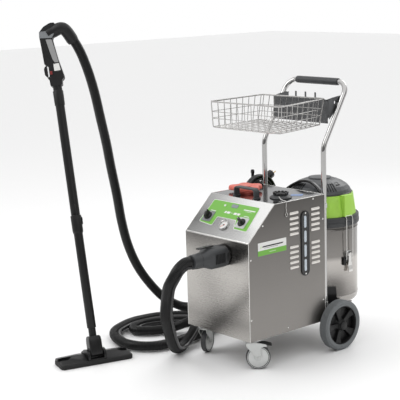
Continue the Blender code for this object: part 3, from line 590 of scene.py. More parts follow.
def camera_and_lights():
    camera = bpy.data.objects.new("Camera", bpy.data.cameras.new("Camera"))
    bpy.context.collection.objects.link(camera)
    azimuth, elevation, roll = math.radians(49.377), math.radians(10.801), math.radians(-1.618)
    back = Vector((math.sin(azimuth) * math.cos(elevation), -math.cos(azimuth) * math.cos(elevation),
                   math.sin(elevation)))
    right = Vector((math.cos(azimuth), math.sin(azimuth), 0.0))
    up = back.cross(right)
    right, up = right * math.cos(roll) + up * math.sin(roll), up * math.cos(roll) - right * math.sin(roll)
    turn = Matrix((right, up, back)).transposed().to_4x4()
    camera.matrix_world = moved(CART + Vector((3.4755, -3.0617, 1.5711))) @ turn
    camera.data.lens = 105.82
    camera.data.sensor_width = 36.0
    bpy.context.scene.camera = camera

    bpy.context.scene.world = studio(back)
    bpy.context.scene.view_settings.view_transform = "Standard"

    lights = {"Key": ((-1.8, -2.6, 3.2), 2.4, 50.0), "Fill": ((3.4, -0.6, 2.6), 2.2, 14.0),
              "Back": ((-0.6, 3.2, 2.8), 2.0, 26.0)}
    for name, (spot, size, power) in lights.items():
        lamp = bpy.data.objects.new(name, bpy.data.lights.new(name, "AREA"))
        bpy.context.collection.objects.link(lamp)
        lamp.data.size = size
        lamp.data.energy = power
        lamp.matrix_world = at(CART + Vector(spot), Vector(spot) - Vector((0, 0, 0.5)))

    bm = bmesh.new()
    add_box(bm, (-20, -20, -0.02), (20, 20, 0.0))
    mesh = bpy.data.meshes.new("Floor")
    bm.to_mesh(mesh)
    bm.free()
    mesh.materials.append(surface("pale_floor", (0.93, 0.93, 0.93), 0.55, bump=0.0, shade=0.004))
    floor = bpy.data.objects.new("Floor", mesh)
    bpy.context.collection.objects.link(floor)


# ---------------------------------------------------------------- cords
def beside(line, distance):
    """The line moved sideways by a distance, towards the steam line's side of the hose."""
    return [p + (x * math.cos(STEAM_SIDE) + y * math.sin(STEAM_SIDE)) * distance
            for p, x, y in frames_along(line, (0, 0, 1))]


def steam_hose():
    """The long hose with its ribs and its steam line."""
    line = smooth_route(HOSE_ROUTE, 0.00135)
    ribs = (1.0, 1.0, 0.925, 0.925)
    counts = []

    def hose(bm):
        scales = [ribs[i % 4] for i in range(len(line))]
        add_sweep(bm, beside(line, -0.0040), circle(0.0208, 20), across=(0, 0, 1), scales=scales)
        counts.append(len(bm.faces))
        add_sweep(bm, beside(line[::6], 0.0190), circle(0.0080, 12))

    obj = make("ribbed_hose", "hose", hose, replaces=("steam_hose",))
    obj.data.materials.append(M["steam_line"])
    for face in obj.data.polygons[counts[0]:]:
        face.material_index = 1


def hank_path():
    """The mains cable's own line: gland, lead, an inward run, three layers of three turns, and the plug."""
    rng = random.Random(7)
    turns = [(0.0600, 0.0092), (0.0600, 0.0), (0.0600, -0.0092), (0.0755, -0.0092), (0.0755, 0.0),
             (0.0755, 0.0092),
             (0.0910, 0.0092), (0.0910, 0.0), (0.0910, -0.0092)]
    steps = 30
    start = math.radians(-104)
    wobble = [(rng.uniform(-0.0016, 0.0016), rng.uniform(-0.0010, 0.0010)) for _ in range(12)]
    stations = [(0.0960, -0.0092), (0.0780, -0.0100)] + turns
    points = []
    total = len(stations) + 28 / 360
    for i in range(round(total * steps) + 1):
        t = min(i / steps, total)
        k = min(int(t), len(stations) - 1)
        blend = t - k
        one = stations[k]
        two = stations[min(k + 1, len(stations) - 1)]
        ease = min(1.0, max(0.0, (blend - 0.70) / 0.30)) ** 2 if k > 0 else blend
        radius = one[0] + (two[0] - one[0]) * ease
        shift = one[1] + (two[1] - one[1]) * ease
        dr, dx = wobble[(i * 12 // steps) % 12]
        a = start - 2 * math.pi * t
        points.append(HANK + Vector((shift + dx * 0.4, (radius + dr * 0.5) * math.cos(a),
                                     (radius + dr * 0.5) * math.sin(a))))
    lead = [Vector(p) for p in MAINS_ROUTE[:8]]
    lead += [Vector((-0.2170, 0.4690, 0.4560)), Vector((-0.2230, 0.4560, 0.4880))]
    tail = [Vector(p) for p in ((-0.233, 0.3769, 0.5624), (-0.240, 0.3746, 0.5841), (-0.245, 0.3823, 0.6036),
                                (-0.248, 0.3991, 0.6180), (-0.2485, 0.448, 0.638))]
    entry = PLUG_FOOT - PLUG_AIM * 0.016
    return smooth_route(lead + points[1:] + tail + [entry, PLUG_FOOT + PLUG_AIM * 0.004], 0.0040)


def mains_cable():
    line = hank_path()

    def sheath(bm):
        add_sweep(bm, line, circle(MAINS_R, 14), across=(1, 0, 0))

    here = at(PLUG_FOOT, PLUG_AIM)

    def plug(bm):
        add_turned(bm, [(0, -0.0010), (0.0062, -0.0010), (0.0066, 0.0030), (0.0085, 0.0070),
                        (0.0120, 0.0110),
                        (0.0170, 0.0200), (0.0182, 0.0240), (0.0182, 0.0460), (0.0172, 0.0480),
                        (0, 0.0480)], 40)
        for k in range(8):
            spin = Matrix.Rotation(2 * math.pi * k / 8, 4, "Z")
            add_box(bm, (0.0168, -0.0022, 0.0260), (0.0188, 0.0022, 0.0440), spin)

    body = make("plug_moulding", "gloss_black", plug, replaces=("mains_plug",), place=here, bevel=0.0006)

    def pins(bm):
        for x in (-0.0095, 0.0095):
            add_turned(bm, [(0, 0.0470), (0.0024, 0.0470), (0.0024, 0.0640), (0.0016, 0.0658), (0, 0.0660)],
                       16,
                       moved((x, 0, 0)))

    contacts = make("plug_pins", "brass", pins, place=here)

    cable = make("mains_sheath", "cable", sheath, replaces=("mains_cable", "mains_cable_hank"))

    def hook(bm):
        path = bent([(-0.1895, 0.4475, 0.6520), (-0.2540, 0.4475, 0.6520), (-0.2540, 0.4475, 0.7160)],
                    [0.012], 8)
        add_sweep(bm, path, rounded([(-0.0040, -0.0070), (0.0040, -0.0070), (0.0040, 0.0070),
                                     (-0.0040, 0.0070)],
                                    0.003, 4), across=(0, 0, 1))
        add_turned(bm, [(0, 0.7060), (0.0060, 0.7060), (0.0082, 0.7100), (0.0086, 0.7160), (0.0078, 0.7230),
                        (0.0050, 0.7258), (0, 0.7260)], 28, moved((-0.2540, 0.4475, 0)))
        add_prism(bm, rounded([(0.4300, 0.6350), (0.4345, 0.6350), (0.4345, 0.6690), (0.4300, 0.6690)],
                              0.001, 2),
                  -0.1960, -0.1902, "YZ")
        add_turned(bm, [(0, 0), (0.0150, 0), (0.0150, 0.0040), (0.0110, 0.0065), (0, 0.0065)], 28,
                   at((-0.1902, 0.4475, 0.6520), (-1, 0, 0)))

    make("cable_hook_arm", "gloss_black", hook, replaces=("cable_hook",))


# ---------------------------------------------------------------- housing
def side_path(x):
    corners = [(x, 0, BASE_Z), (x, 0, FRONT_TOP), (x, SLANT_DEPTH, TOP_Z), (x, DEPTH, TOP_Z),
               (x, DEPTH, BASE_Z)]
    return bent(corners, (0.0040, 0.0040, 0.0040), 5)


def housing():
    """The folded front and control sheet, the rolled edges, the louvres and the screws."""
    half = HALF - 0.0018
    sheet = 0.0012

    def folded(bm):
        outer = bent([(0, 0, BASE_Z), (0, 0, FRONT_TOP), (0, SLANT_DEPTH, TOP_Z)], [0.0100], 10)
        inner = bent([(0, sheet, BASE_Z), (0, sheet, FRONT_TOP - 0.0006),
                      (0, SLANT_DEPTH, TOP_Z - sheet * 1.4)],
                     [0.0088], 10)
        outline = [(p.y, p.z) for p in outer + inner[::-1]]
        add_prism(bm, outline, -half, half, "YZ")

    sheet_piece = make("folded_front", "front_steel", folded, replaces=("front_panel", "control_panel"))
    sheet_piece.data.materials.append(M["slant_steel"])
    sheet_piece.data.materials.append(M["bright_steel_and_highlight"])
    # The slanted faces take the lighter slant steel with its painted shade; the bend at the top of the front
    # takes the brighter steel as a painted highlight.
    for face in sheet_piece.data.polygons:
        if face.normal.z > 0.70:
            face.material_index = 1
        elif face.normal.z > 0.08 and face.normal.y < 0:
            face.material_index = 2

    def edges(bm):
        for x in (-HALF + 0.0007, HALF - 0.0007):
            add_wire(bm, side_path(x), 0.0014, 8)
        for y, z in ((SLANT_DEPTH + 0.002, TOP_Z), (DEPTH - 0.001, TOP_Z)):
            add_wire(bm, [(-half, y, z - 0.0004), (half, y, z - 0.0004)], 0.0011, 8)

    # The rolled edges take the brighter steel: a painted highlight along the sheet's edges.
    make("rolled_edges", "bright_steel_and_highlight", edges)

    def hoods(bm):
        for side in (-1, 1):
            for y in (0.2535, 0.3775):
                for top in (0.619, 0.479):
                    for row in range(5):
                        frame_here = at((side * (HALF + 0.0002), y, top - 0.0215 * row), (side, 0, 0),
                                        (0, 1, 0))
                        rings = [[frame_here @ Vector((u, v * 1.06, rise)) for u, v in
                                  stadium(0.0258 - inset, 0.0056 - inset, 7)]
                                 for inset, rise in ((0, 0), (0.0003, 0.0014), (0.0012, 0.0028),
                                                     (0.0026, 0.0036),
                                                     (0.0044, 0.0040))]
                        add_loft(bm, rings)

    # The hoods take the lighter louvre steel, a painted highlight.
    make("louvre_hoods", "louvre", hoods)

    def screws(bm):
        spots = [(0.077, 0.594), (0.009, 0.466), (0.007, 0.221), (0.212, 0.148), (0.422, 0.223),
                 (0.421, 0.570),
                 (0.365, 0.662)]
        for side in (-1, 1):
            for y, z in spots:
                add_turned(bm, [(0, 0), (0.0046, 0), (0.0046, 0.0004), (0.0040, 0.0016), (0.0024, 0.0023),
                                (0, 0.0025)],
                           16, at((side * (HALF + 0.0001), y, z), (side, 0, 0)))
        for x in (-0.165, 0, 0.165):
            for z in (0.160, 0.400, 0.640):
                add_turned(bm, [(0, 0), (0.0046, 0), (0.0040, 0.0016), (0.0024, 0.0023), (0, 0.0025)], 16,
                           at((x, DEPTH, z), (0, 1, 0)))

    make("panel_screws", "bright_steel_and_highlight", screws)

    def marks(bm):
        """The upper, white band of a printed plate in two plain bands."""
        add_prism(bm, rounded([(0.050, 0.4950), (0.2075, 0.4950), (0.2075, 0.5270), (0.050, 0.5270)], 0.001,
                              2),
                  HALF + 0.0003, HALF + 0.0010, "YZ")

    make("side_plate_upper", "white", marks)

    def lower(bm):
        add_prism(bm, [(0.050, 0.4740), (0.2075, 0.4740), (0.2075, 0.4948), (0.050, 0.4948)],
                  HALF + 0.0003, HALF + 0.0010, "YZ")

    make("side_plate_lower", "panel_green", lower)

    def bars(bm):
        """Plain bars in place of printing."""
        for low, high, z, thick in ((0.072, 0.186, 0.5095, 0.0050), (0.084, 0.160, 0.5028, 0.0012)):
            add_prism(bm, [(low, z - thick / 2), (high, z - thick / 2), (high + thick, z + thick / 2),
                           (low + thick, z + thick / 2)], HALF + 0.0009, HALF + 0.0013, "YZ")

    make("side_plate_bars", "black", bars)

    def leaf(bm):
        add_prism(bm, [(0.060, 0.5045), (0.0690, 0.5045), (0.0690, 0.5160)], HALF + 0.0009, HALF + 0.0013,
                  "YZ")
        add_prism(bm, [(0.1120, 0.4835), (0.1480, 0.4835), (0.1480, 0.4855), (0.1120, 0.4855)],
                  HALF + 0.0009,
                  HALF + 0.0012, "YZ")

    make("side_plate_corner", "pale_green", leaf)

    def blue(bm):
        corners = [(0.089, 0.343), (0.112, 0.311), (0.147, 0.346), (0.124, 0.378)]
        add_prism(bm, rounded(corners, 0.003, 3), TOP_Z + 0.0002, TOP_Z + 0.0009)

    make("top_plate_blue", "blue", blue)

    def gland(bm):
        ribs = [(0, -0.002), (0.0120, -0.002), (0.0120, 0.0040), (0.0095, 0.0050)]
        for k in range(4):
            low = 0.0070 + 0.0052 * k
            reach = 0.0090 - 0.0007 * k
            ribs += [(reach, low), (reach - 0.0001, low + 0.0026), (reach - 0.0014, low + 0.0034),
                     (reach - 0.0014, low + 0.0048)]
        ribs += [(0.0062, 0.0290), (0.0056, 0.0300), (0, 0.0300)]
        add_turned(bm, ribs, 24, at((-0.150, DEPTH, 0.300), (0, 1, 0)))

    return make("cable_relief", "black", gland)


def grown(outline, reach):
    """The outline with each edge moved out by a reach; its corners go round anticlockwise."""
    points = []
    count = len(outline)
    for i in range(count):
        a, b, c = (Vector(outline[(i + k) % count]) for k in (-1, 0, 1))
        one = (b - a).normalized()
        two = (c - b).normalized()
        out = (Vector((one.y, -one.x)) + Vector((two.y, -two.x))).normalized()
        points.append(tuple(b + out * (reach / max(0.35, out.dot(Vector((one.y, -one.x)))))))
    return points


def control_panel():
    """The printed overlay, its lamp and display, the switch plates, the gauge and the level window."""
    slope = at(on_slope(0, 0), SLOPE_OUT, (1, 0, 0))
    overlay = [(-0.149, 0.058), (-0.068, 0.050), (-0.067, 0.095), (0.049, 0.095), (0.062, 0.053),
               (0.138, 0.051),
               (0.129, 0.170), (-0.144, 0.172)]
    make("overlay_edge", "white", lambda bm: add_prism(bm, rounded(grown(overlay, 0.0022), 0.009, 5),
                                                       0.0002, 0.0006),
         place=slope)
    make("overlay_print", "panel_green", lambda bm: add_prism(bm, rounded(overlay, 0.008, 5), 0.0005,
                                                            0.0010),
         place=slope)

    def plate(u, v, width, height, rise):
        return lambda bm: add_prism(bm, rounded([(u - width / 2, v - height / 2), (u + width / 2,
                                                            v - height / 2),
                                                 (u + width / 2, v + height / 2),
                                                 (u - width / 2, v + height / 2)],
                                                0.004, 4), 0.0008, rise)

    make("left_switch_plate", "plate_grey", plate(-0.116, 0.088, 0.052, 0.052, 0.0034), place=slope,
         bevel=0.0007)
    make("right_switch_plate", "pale", plate(0.088, 0.086, 0.054, 0.052, 0.0034), place=slope, bevel=0.0007)
    make("display", "display", plate(-0.007, 0.1565, 0.038, 0.017, 0.0022), place=slope, bevel=0.0004)

    def prints(bm):
        """Plain bars and ticks in place of printing, and the scales round the two switches."""
        for left, right, v, thick in ((0.052, 0.119, 0.148, 0.0046), (0.066, 0.104, 0.141, 0.0012),
                                      (-0.044, -0.034, 0.122, 0.010), (-0.030, -0.012, 0.122, 0.010),
                                      (-0.004, 0.002, 0.122, 0.003), (0.010, 0.028, 0.122, 0.010),
                                      (0.032, 0.046, 0.122, 0.010), (-0.126, -0.094, 0.1185, 0.0030),
                                      (0.074, 0.104, 0.1185, 0.0030)):
            lean = thick * 0.35
            add_prism(bm, [(left, v - thick / 2), (right, v - thick / 2), (right + lean, v + thick / 2),
                           (left + lean, v + thick / 2)], 0.0009, 0.0013)
        for u, v in ((-0.116, 0.088), (0.088, 0.086)):
            for degrees in (45, 90, 135):
                a = math.radians(degrees)
                add_prism(bm, circle(0.0014, 8, (u + 0.0215 * math.cos(a), v + 0.0215 * math.sin(a))),
                          0.0033, 0.0037)

    make("overlay_marks", "white", prints, place=slope)
    make("lamp", "white", lambda bm: add_turned(bm, [(0, 0.0008), (0.0052, 0.0008), (0.0052, 0.0026),
                                                     (0.0042, 0.0040),
                                                     (0.0022, 0.0048), (0, 0.0050)], 20,
                                                slope @ moved((-0.063, 0.152, 0))))

    for side, u, v, turn in (("left", -0.116, 0.088, 20), ("right", 0.088, 0.086, 62)):
        here = at(on_slope(u, v, 0.0003), SLOPE_OUT, (1, 0, 0)) @ Matrix.Rotation(math.radians(turn), 4, "Z")

        def knob(bm):
            add_turned(bm, [(0, 0.0032), (0.0182, 0.0032), (0.0182, 0.0062), (0.0168, 0.0088),
                            (0.0140, 0.0100),
                            (0, 0.0104)], 40)
            rings = [[(0.0062 * s * x, 0.0172 * t * y + 0.0004, z) for x, y in
                      ((-1, -1), (1, -1), (1.12, 0), (1, 1), (-1, 1), (-1.12, 0))]
                     for s, t, z in ((1.0, 1.0, 0.0095), (0.96, 1.0, 0.0200), (0.84, 0.97, 0.0245),
                                     (0.55, 0.90, 0.0262))]
            add_loft(bm, [[Vector(p) for p in ring] for ring in rings])

        make(f"{side}_knob", "black", knob, f"{side}_switch_knob", (f"{side}_switch_knob",), here,
             bevel=0.0009)
        make(f"{side}_knob_line", "white", lambda bm: add_box(bm, (-0.0007, 0.0060, 0.0258),
                                                            (0.0007, 0.0145, 0.0264)),
             f"{side}_switch_knob", place=here)

    dial = at(on_slope(0, 0.060), SLOPE_OUT, (1, 0, 0))
    make("gauge_bezel", "chrome",
         lambda bm: add_turned(bm, [(0.0198, -0.0200), (0.0202, 0.0003), (0.0250, 0.0003), (0.0252, 0.0040),
                                    (0.0244, 0.0066), (0.0228, 0.0076), (0.0212, 0.0074), (0.0204, 0.0062),
                                    (0.0198, 0.0022)], 56), replaces=("gauge_body",), place=dial)
    make("gauge_face", "white", lambda bm: add_turned(bm, [(0, 0.0008), (0.0202, 0.0008), (0.0202, 0.0020),
                                                           (0, 0.0020)], 48), place=dial)

    def ticks(bm):
        for i in range(21):
            spin = Matrix.Rotation(math.radians(GAUGE_ZERO - 13.5 * i), 4, "Z")
            inner = 0.0145 if i % 5 == 0 else 0.0165
            width = 0.0005 if i % 5 == 0 else 0.00025
            add_box(bm, (-width, inner, 0.0019), (width, 0.0188, 0.0023), spin)
        add_turned(bm, [(0, 0.0019), (0.0028, 0.0019), (0.0028, 0.0050), (0.0020, 0.0054), (0, 0.0054)], 20)

    make("gauge_ticks", "gloss_black", ticks, place=dial)

    def pointer(bm):
        add_prism(bm, [(-0.0011, -0.0060), (0.0011, -0.0060), (0.0004, 0.0155), (-0.0004, 0.0155)], 0.0027,
                  0.0035)

    make("gauge_pointer", "red", pointer, "gauge_needle", ("gauge_needle",),
         dial @ Matrix.Rotation(math.radians(GAUGE_ZERO), 4, "Z"))

    def window_trim(bm):
        here = at((HALF + 0.0003, 0.3160, 0.4835), (1, 0, 0), (0, 0, 1))
        rings = [[here @ Vector((u, v, rise)) for u, v in stadium(0.1360 - inset, 0.0235 - inset, 15)]
                 for inset, rise in ((0, 0), (0, 0.0030), (0.0008, 0.0044), (0.0024, 0.0050),
                                     (0.0044, 0.0046),
                                     (0.0052, 0.0036), (0.0070, 0.0034))]
        add_loft(bm, rings)

    make("level_window_trim", "gloss_black", window_trim, replaces=("level_window_frame",))

    def tubes(bm):
        for low, high in ((0.549, 0.600), (0.488, 0.538), (0.427, 0.479), (0.367, 0.418)):
            here = at((HALF + 0.0030, 0.3150, (low + high) / 2), (1, 0, 0), (0, 0, 1))
            reach = (high - low) / 2
            rings = [[here @ Vector((u, v, rise)) for u, v in stadium(reach - inset, 0.0068 - inset * 0.7,
                                                            7)]
                     for inset, rise in ((0, 0), (0.0002, 0.0012), (0.0016, 0.0022), (0.0038, 0.0027))]
            add_loft(bm, rings)

    make("level_glass", "level_glass", tubes)

    def trim_screws(bm):
        for z in (0.6105, 0.3565):
            add_turned(bm, [(0, 0), (0.0040, 0), (0.0036, 0.0012), (0, 0.0018)], 16,
                       at((HALF + 0.0038, 0.3160, z), (1, 0, 0)))

    make("level_screws", "bright_steel_and_highlight", trim_screws)


def top_fittings():
    """The strap grip, the filler cap with its chain, and the lobed boiler cap."""
    def strap(bm):
        path = bent([(-0.063, 0.175, TOP_Z + 0.002), (-0.0620, 0.175, 0.7105), (0.0550, 0.175, 0.7105),
                     (0.0565, 0.175, TOP_Z + 0.002)], (0.012, 0.012), 7)
        section = rounded([(-0.0036, -0.0150), (0.0036, -0.0150), (0.0036, 0.0150), (-0.0036, 0.0150)],
                          0.003, 4)
        add_sweep(bm, path, section, across=(1, 0, 0))
        for x in (-0.0630, 0.0565):
            low, high = x - 0.0095, x + 0.0095
            add_prism(bm, rounded([(low, 0.1590), (high, 0.1590), (high, 0.1910), (low, 0.1910)], 0.004, 3),
                      TOP_Z + 0.0003, TOP_Z + 0.0060)

    make("strap_grip", "grey", strap, replaces=("top_grip",), bevel=0.0008)

    def filler(bm):
        add_turned(bm, [(0, 0.0110), (0.0300, 0.0110), (0.0312, 0.0130), (0.0312, 0.0200), (0.0300, 0.0216),
                        (0.0235, 0.0216), (0.0225, 0.0170), (0.0060, 0.0160), (0.0050, 0.0210),
                        (0, 0.0216)], 64)
        for i in range(12):
            spin = Matrix.Rotation(2 * math.pi * i / 12, 4, "Z")
            add_box(bm, (0.0262, -0.0046, 0.0180), (0.0328, 0.0046, 0.0244), spin)

    def flange(bm):
        add_turned(bm, [(0, 0.0004), (0.0452, 0.0004), (0.0460, 0.0024), (0.0450, 0.0044), (0.0400, 0.0076),
                        (0.0340, 0.0112), (0.0318, 0.0124), (0, 0.0124)], 64)

    make("filler_cap_flange", "grey", flange, "filler_cap", place=at(FILLER))
    make("filler_cap_moulding", "gloss_black", filler, "filler_cap", ("filler_cap",), at(FILLER),
         bevel=0.0009)

    def chain(bm):
        knots = [(FILLER.x + 0.020, FILLER.y - 0.030, TOP_Z + 0.0095), (0.150, 0.222, TOP_Z + 0.0030),
                 (0.172, 0.214, TOP_Z + 0.0028), (0.1895, 0.2090, TOP_Z + 0.0022),
                 (HALF + 0.0028, 0.2080, 0.660),
                 (HALF + 0.0026, 0.2070, 0.648), (HALF + 0.0026, 0.2080, 0.636),
                 (HALF + 0.0026, 0.2080, 0.628)]
        line = smooth_route(knots, 0.0044)
        for point in line:
            add_turned(bm, [(0, -0.0018), (0.0010, -0.0015), (0.0018, 0), (0.0010, 0.0015), (0, 0.0018)], 8,
                       moved(point))
        add_wire(bm, line, 0.0005, 6)
        for sign in (-1, 1):
            loop = [line[-1] + Vector((0.0006, 0.0055 * sign * math.sin(a), -0.008 + 0.0085 * math.cos(a)))
                    for a in [math.pi * k / 8 for k in range(9)]]
            add_wire(bm, loop, 0.0009, 6)

    make("cap_chain", "bright_steel_and_highlight", chain)

    def lobed(bm):
        rings = []
        count = 120
        for inset, height in ((0.0016, 0.0090), (0, 0.0104), (-0.0004, 0.0140), (0.0002, 0.0206),
                              (0.0022, 0.0252),
                              (0.0062, 0.0276), (0.0140, 0.0282), (0.0240, 0.0252), (0.0340, 0.0240)):
            ring = []
            for i in range(count):
                a = 2 * math.pi * i / count
                wave = math.cos(5 * a)
                radius = 0.0640 + 0.0100 * math.copysign(abs(wave) ** 0.8, wave) - inset
                ring.append(Vector((radius * math.cos(a), radius * math.sin(a), height)))
            rings.append(ring)
        add_loft(bm, rings)
        add_turned(bm, [(0, 0.0004), (0.0505, 0.0004), (0.0515, 0.0030), (0.0500, 0.0096), (0, 0.0104)], 56)
        add_turned(bm, [(0, 0.0230), (0.0240, 0.0230), (0.0250, 0.0254), (0.0230, 0.0278), (0, 0.0284)], 40)

    make("boiler_cap_moulding", "red", lobed, "boiler_cap", ("boiler_cap",), at(BOILER_CAP))


# ---------------------------------------------------------------- handle and basket
def push_handle():
    lean_y, top_z = HANDLE_TOP

    def frame_tube(bm):
        corners = [(-HANDLE_X, HANDLE_Y, 0.160), (-HANDLE_X, HANDLE_Y, 0.865), (-HANDLE_X, lean_y, top_z),
                   (HANDLE_X, lean_y, top_z), (HANDLE_X, HANDLE_Y, 0.865), (HANDLE_X, HANDLE_Y, 0.160)]
        add_sweep(bm, bent(corners, (0.09, 0.055, 0.055, 0.09), 14), circle(TUBE_R, 28), across=(1, 0, 0))

    make("push_handle_tube", "chrome", frame_tube, replaces=("handle_frame",))

    def grip(bm):
        add_turned(bm, [(TUBE_R, -0.1200), (0.0140, -0.1200), (0.0148, -0.1188), (0.0151, -0.1160),
                        (0.0151, 0.1160),
                        (0.0148, 0.1188), (0.0140, 0.1200), (TUBE_R, 0.1200)], 40)
        for k in range(-9, 10):
            middle = 0.0115 * k
            add_turned(bm, [(0.0146, middle - 0.0030), (0.0155, middle - 0.0022), (0.0155, middle + 0.0022),
                            (0.0146, middle + 0.0030)], 40)

    make("push_grip", "grey", grip, replaces=("handle_grip",), place=at((0, lean_y, top_z), (1, 0, 0)))

    def clamps(bm):
        for side in (-1, 1):
            for z in (0.200, 0.620):
                here = at((side * HANDLE_X, HANDLE_Y, z))
                add_turned(bm, [(TUBE_R, -0.009), (0.0140, -0.009), (0.0140, 0.009), (TUBE_R, 0.009)], 28,
                           here)

    make("handle_clamps", "zinc", clamps, bevel=0.0006)


def basket_spot(side, across, up):
    """A point on a wall of the basket: side 0 to 3 from the front round by the right, along it, and up it."""
    low = Vector(BASKET_FLOOR[side]).lerp(Vector(BASKET_FLOOR[(side + 1) % 4]), across)
    high = Vector(BASKET_RIM[side]).lerp(Vector(BASKET_RIM[(side + 1) % 4]), across)
    spot = low.lerp(high, up)
    return Vector((spot.x, spot.y, BASKET_Z[0] + (BASKET_Z[1] - BASKET_Z[0]) * up))


def basket():
    """Welded wires: the rim and its hoops, and U-shaped wires both ways that make walls and floor."""
    def wires(bm):
        for up, radius in ((1.0, 0.0032), (0.62, 0.0014), (0.36, 0.0014), (0.02, 0.0018)):
            loop = []
            for side in range(4):
                loop += [basket_spot(side, across, up) for across in (0.03, 0.5, 0.97)]
            add_wire(bm, loop, radius, 10, closed=True)
        for count, one, other, radius in ((10, 0, 2, 0.0015), (8, 1, 3, 0.0015)):
            for k in range(count + 1):
                t = 0.025 + 0.95 * k / count
                sag = Vector((0, 0, -0.0022))
                near = basket_spot(one, t, 0.0)
                far = basket_spot(other, 1 - t, 0.0)
                path = [basket_spot(one, t, 1.0), basket_spot(one, t, 0.5), basket_spot(one, t, 0.05),
                        near.lerp(far, 0.015)] + [near.lerp(far, s) + sag * math.sin(math.pi * s)
                                                  for s in (0.2, 0.35, 0.5, 0.65, 0.8)]
                path += [near.lerp(far, 0.985), basket_spot(other, 1 - t, 0.05),
                         basket_spot(other, 1 - t, 0.5),
                         basket_spot(other, 1 - t, 1.0)]
                add_wire(bm, path, radius, 8)

    make("basket_wires", "wire", wires, replaces=("wire_basket",))

    def back(bm):
        """A perforated plate with its folded frame and three prongs."""
        low, high, half, front = 0.957, 1.052, 0.153, BACK_PLATE_Y
        pitch, bar = 0.0052, 0.0038
        for i in range(int(2 * half / pitch) + 1):
            x = -half + pitch * i
            add_box(bm, (x, front + 0.0003, low), (x + bar, front + 0.0017, high))
        for i in range(int((high - low) / pitch) + 1):
            z = low + pitch * i
            add_box(bm, (-half, front + 0.0004, z), (half, front + 0.0016, min(high, z + bar)))
        for x0, x1, z0, z1 in ((-half - 0.002, half + 0.002, low - 0.002, low + 0.004),
                               (-half - 0.002, half + 0.002, high - 0.004, high + 0.002),
                               (-half - 0.002, -half + 0.004, low, high),
                               (half - 0.004, half + 0.002, low, high)):
            add_box(bm, (x0, front, z0), (x1, front + 0.0022, z1))
        for x in (0.085, 0.029, -0.027):
            add_prism(bm, rounded([(x - 0.004, 1.045), (x + 0.004, 1.045), (x + 0.004, 1.081),
                                   (x - 0.004, 1.081)],
                                  0.002, 3), front - 0.0002, front + 0.0022, "XZ")

    make("basket_back", "dark_zinc", back, replaces=("basket_back_plate",))

    def brackets(bm):
        for side in (-1, 1):
            for x in (side * 0.1515, side * 0.1618):
                outer = [(0.4945, 1.0540), (0.5300, 1.0600), (0.5770, 1.0650), (0.5740, 1.0430),
                         (0.5350, 1.0080),
                         (0.4960, 0.9720), (0.4945, 1.0000), (0.4945, 1.0300)]
                hole = [(0.5350 + 0.0095 * math.cos(a), 1.0400 + 0.0095 * math.sin(a)) for a in
                        [math.atan2(z - 1.0400, y - 0.5350) for y, z in densely(outer, 5)]]
                add_washer(bm, densely(outer, 5), hole, x - 0.0009, x + 0.0009, "YZ")
            add_box(bm, (min(side * 0.1515, side * 0.1618), 0.4940, 0.990),
                    (max(side * 0.1515, side * 0.1618), 0.4958, 1.052))

    make("basket_brackets", "dark_zinc", brackets)


# ---------------------------------------------------------------- running gear
def rear_wheels():
    for side, sign in (("left", -1), ("right", 1)):
        here = at((sign * WHEEL_CENTRE[0], WHEEL_CENTRE[1], WHEEL_CENTRE[2]), (sign, 0, 0), (0, 0, 1))
        half = (WHEEL_OUT - WHEEL_IN) / 2
        r = WHEEL_CENTRE[2]

        def tyre(bm):
            profile = [(0.0822, -half + 0.004), (0.0850, -half + 0.0015), (0.0960, -half),
                       (r - 0.0040, -half + 0.004)]
            for k in range(5):
                middle = (k - 2) * 0.0072
                profile += [(r - 0.0002, middle - 0.0030), (r, middle), (r - 0.0002, middle + 0.0026),
                            (r - 0.0014, middle + 0.0032), (r - 0.0014, middle + 0.0038)]
            profile += [(r - 0.0040, half - 0.004), (0.0985, half - 0.0004), (0.0960, half),
                        (0.0870, half - 0.0006),
                        (0.0850, half - 0.0020), (0.0822, half - 0.004)]
            add_turned(bm, profile, 96)

        make(f"{side}_tyre", "tyre", tyre, f"{side}_rear_wheel", (f"{side}_rear_tyre",), here)

        def hub(bm):
            add_turned(bm, [(0.0785, -half + 0.006), (0.0820, -half + 0.004), (0.0820, half - 0.004),
                            (0.0800, half - 0.0030), (0.0780, half - 0.006), (0.0765, 0.0040),
                            (0.0755, -0.0030),
                            (0.0765, -0.0080)], 72)
            add_turned(bm, [(0.0085, -half - 0.003), (0.0200, -half - 0.003), (0.0230, -0.0080),
                            (0.0775, -0.0080),
                            (0.0775, -0.0030), (0.0300, -0.0025), (0.0260, 0.0020), (0.0230, half - 0.0090),
                            (0.0195, half - 0.0050), (0.0085, half - 0.0050)], 72)
            for k in range(5):
                spin = Matrix.Rotation(math.radians(72 * k + 18), 4, "Z")
                rings = [[spin @ Vector((reach, w * across, z)) for w, z in
                          ((-1, -0.0040), (-0.86, rise), (0.86, rise), (1, -0.0040))]
                         for reach, across, rise in ((0.0200, 0.0120, half - 0.0110), (0.0350, 0.0095,
                                                            half - 0.0150),
                                                     (0.0560, 0.0125, half - 0.0130),
                                                     (0.0775, 0.0200, half - 0.0080))]
                add_loft(bm, rings)

        make(f"{side}_hub", "hub", hub, f"{side}_rear_wheel", (f"{side}_rear_hub",), here, bevel=0.0012)

        def cap(bm):
            add_turned(bm, [(0, half - 0.0060), (0.0192, half - 0.0060), (0.0196, half - 0.0020),
                            (0.0180, half + 0.0012),
                            (0.0130, half + 0.0028), (0, half + 0.0034)], 40)

        make(f"{side}_hub_cap", "black", cap, f"{side}_rear_wheel", place=here)


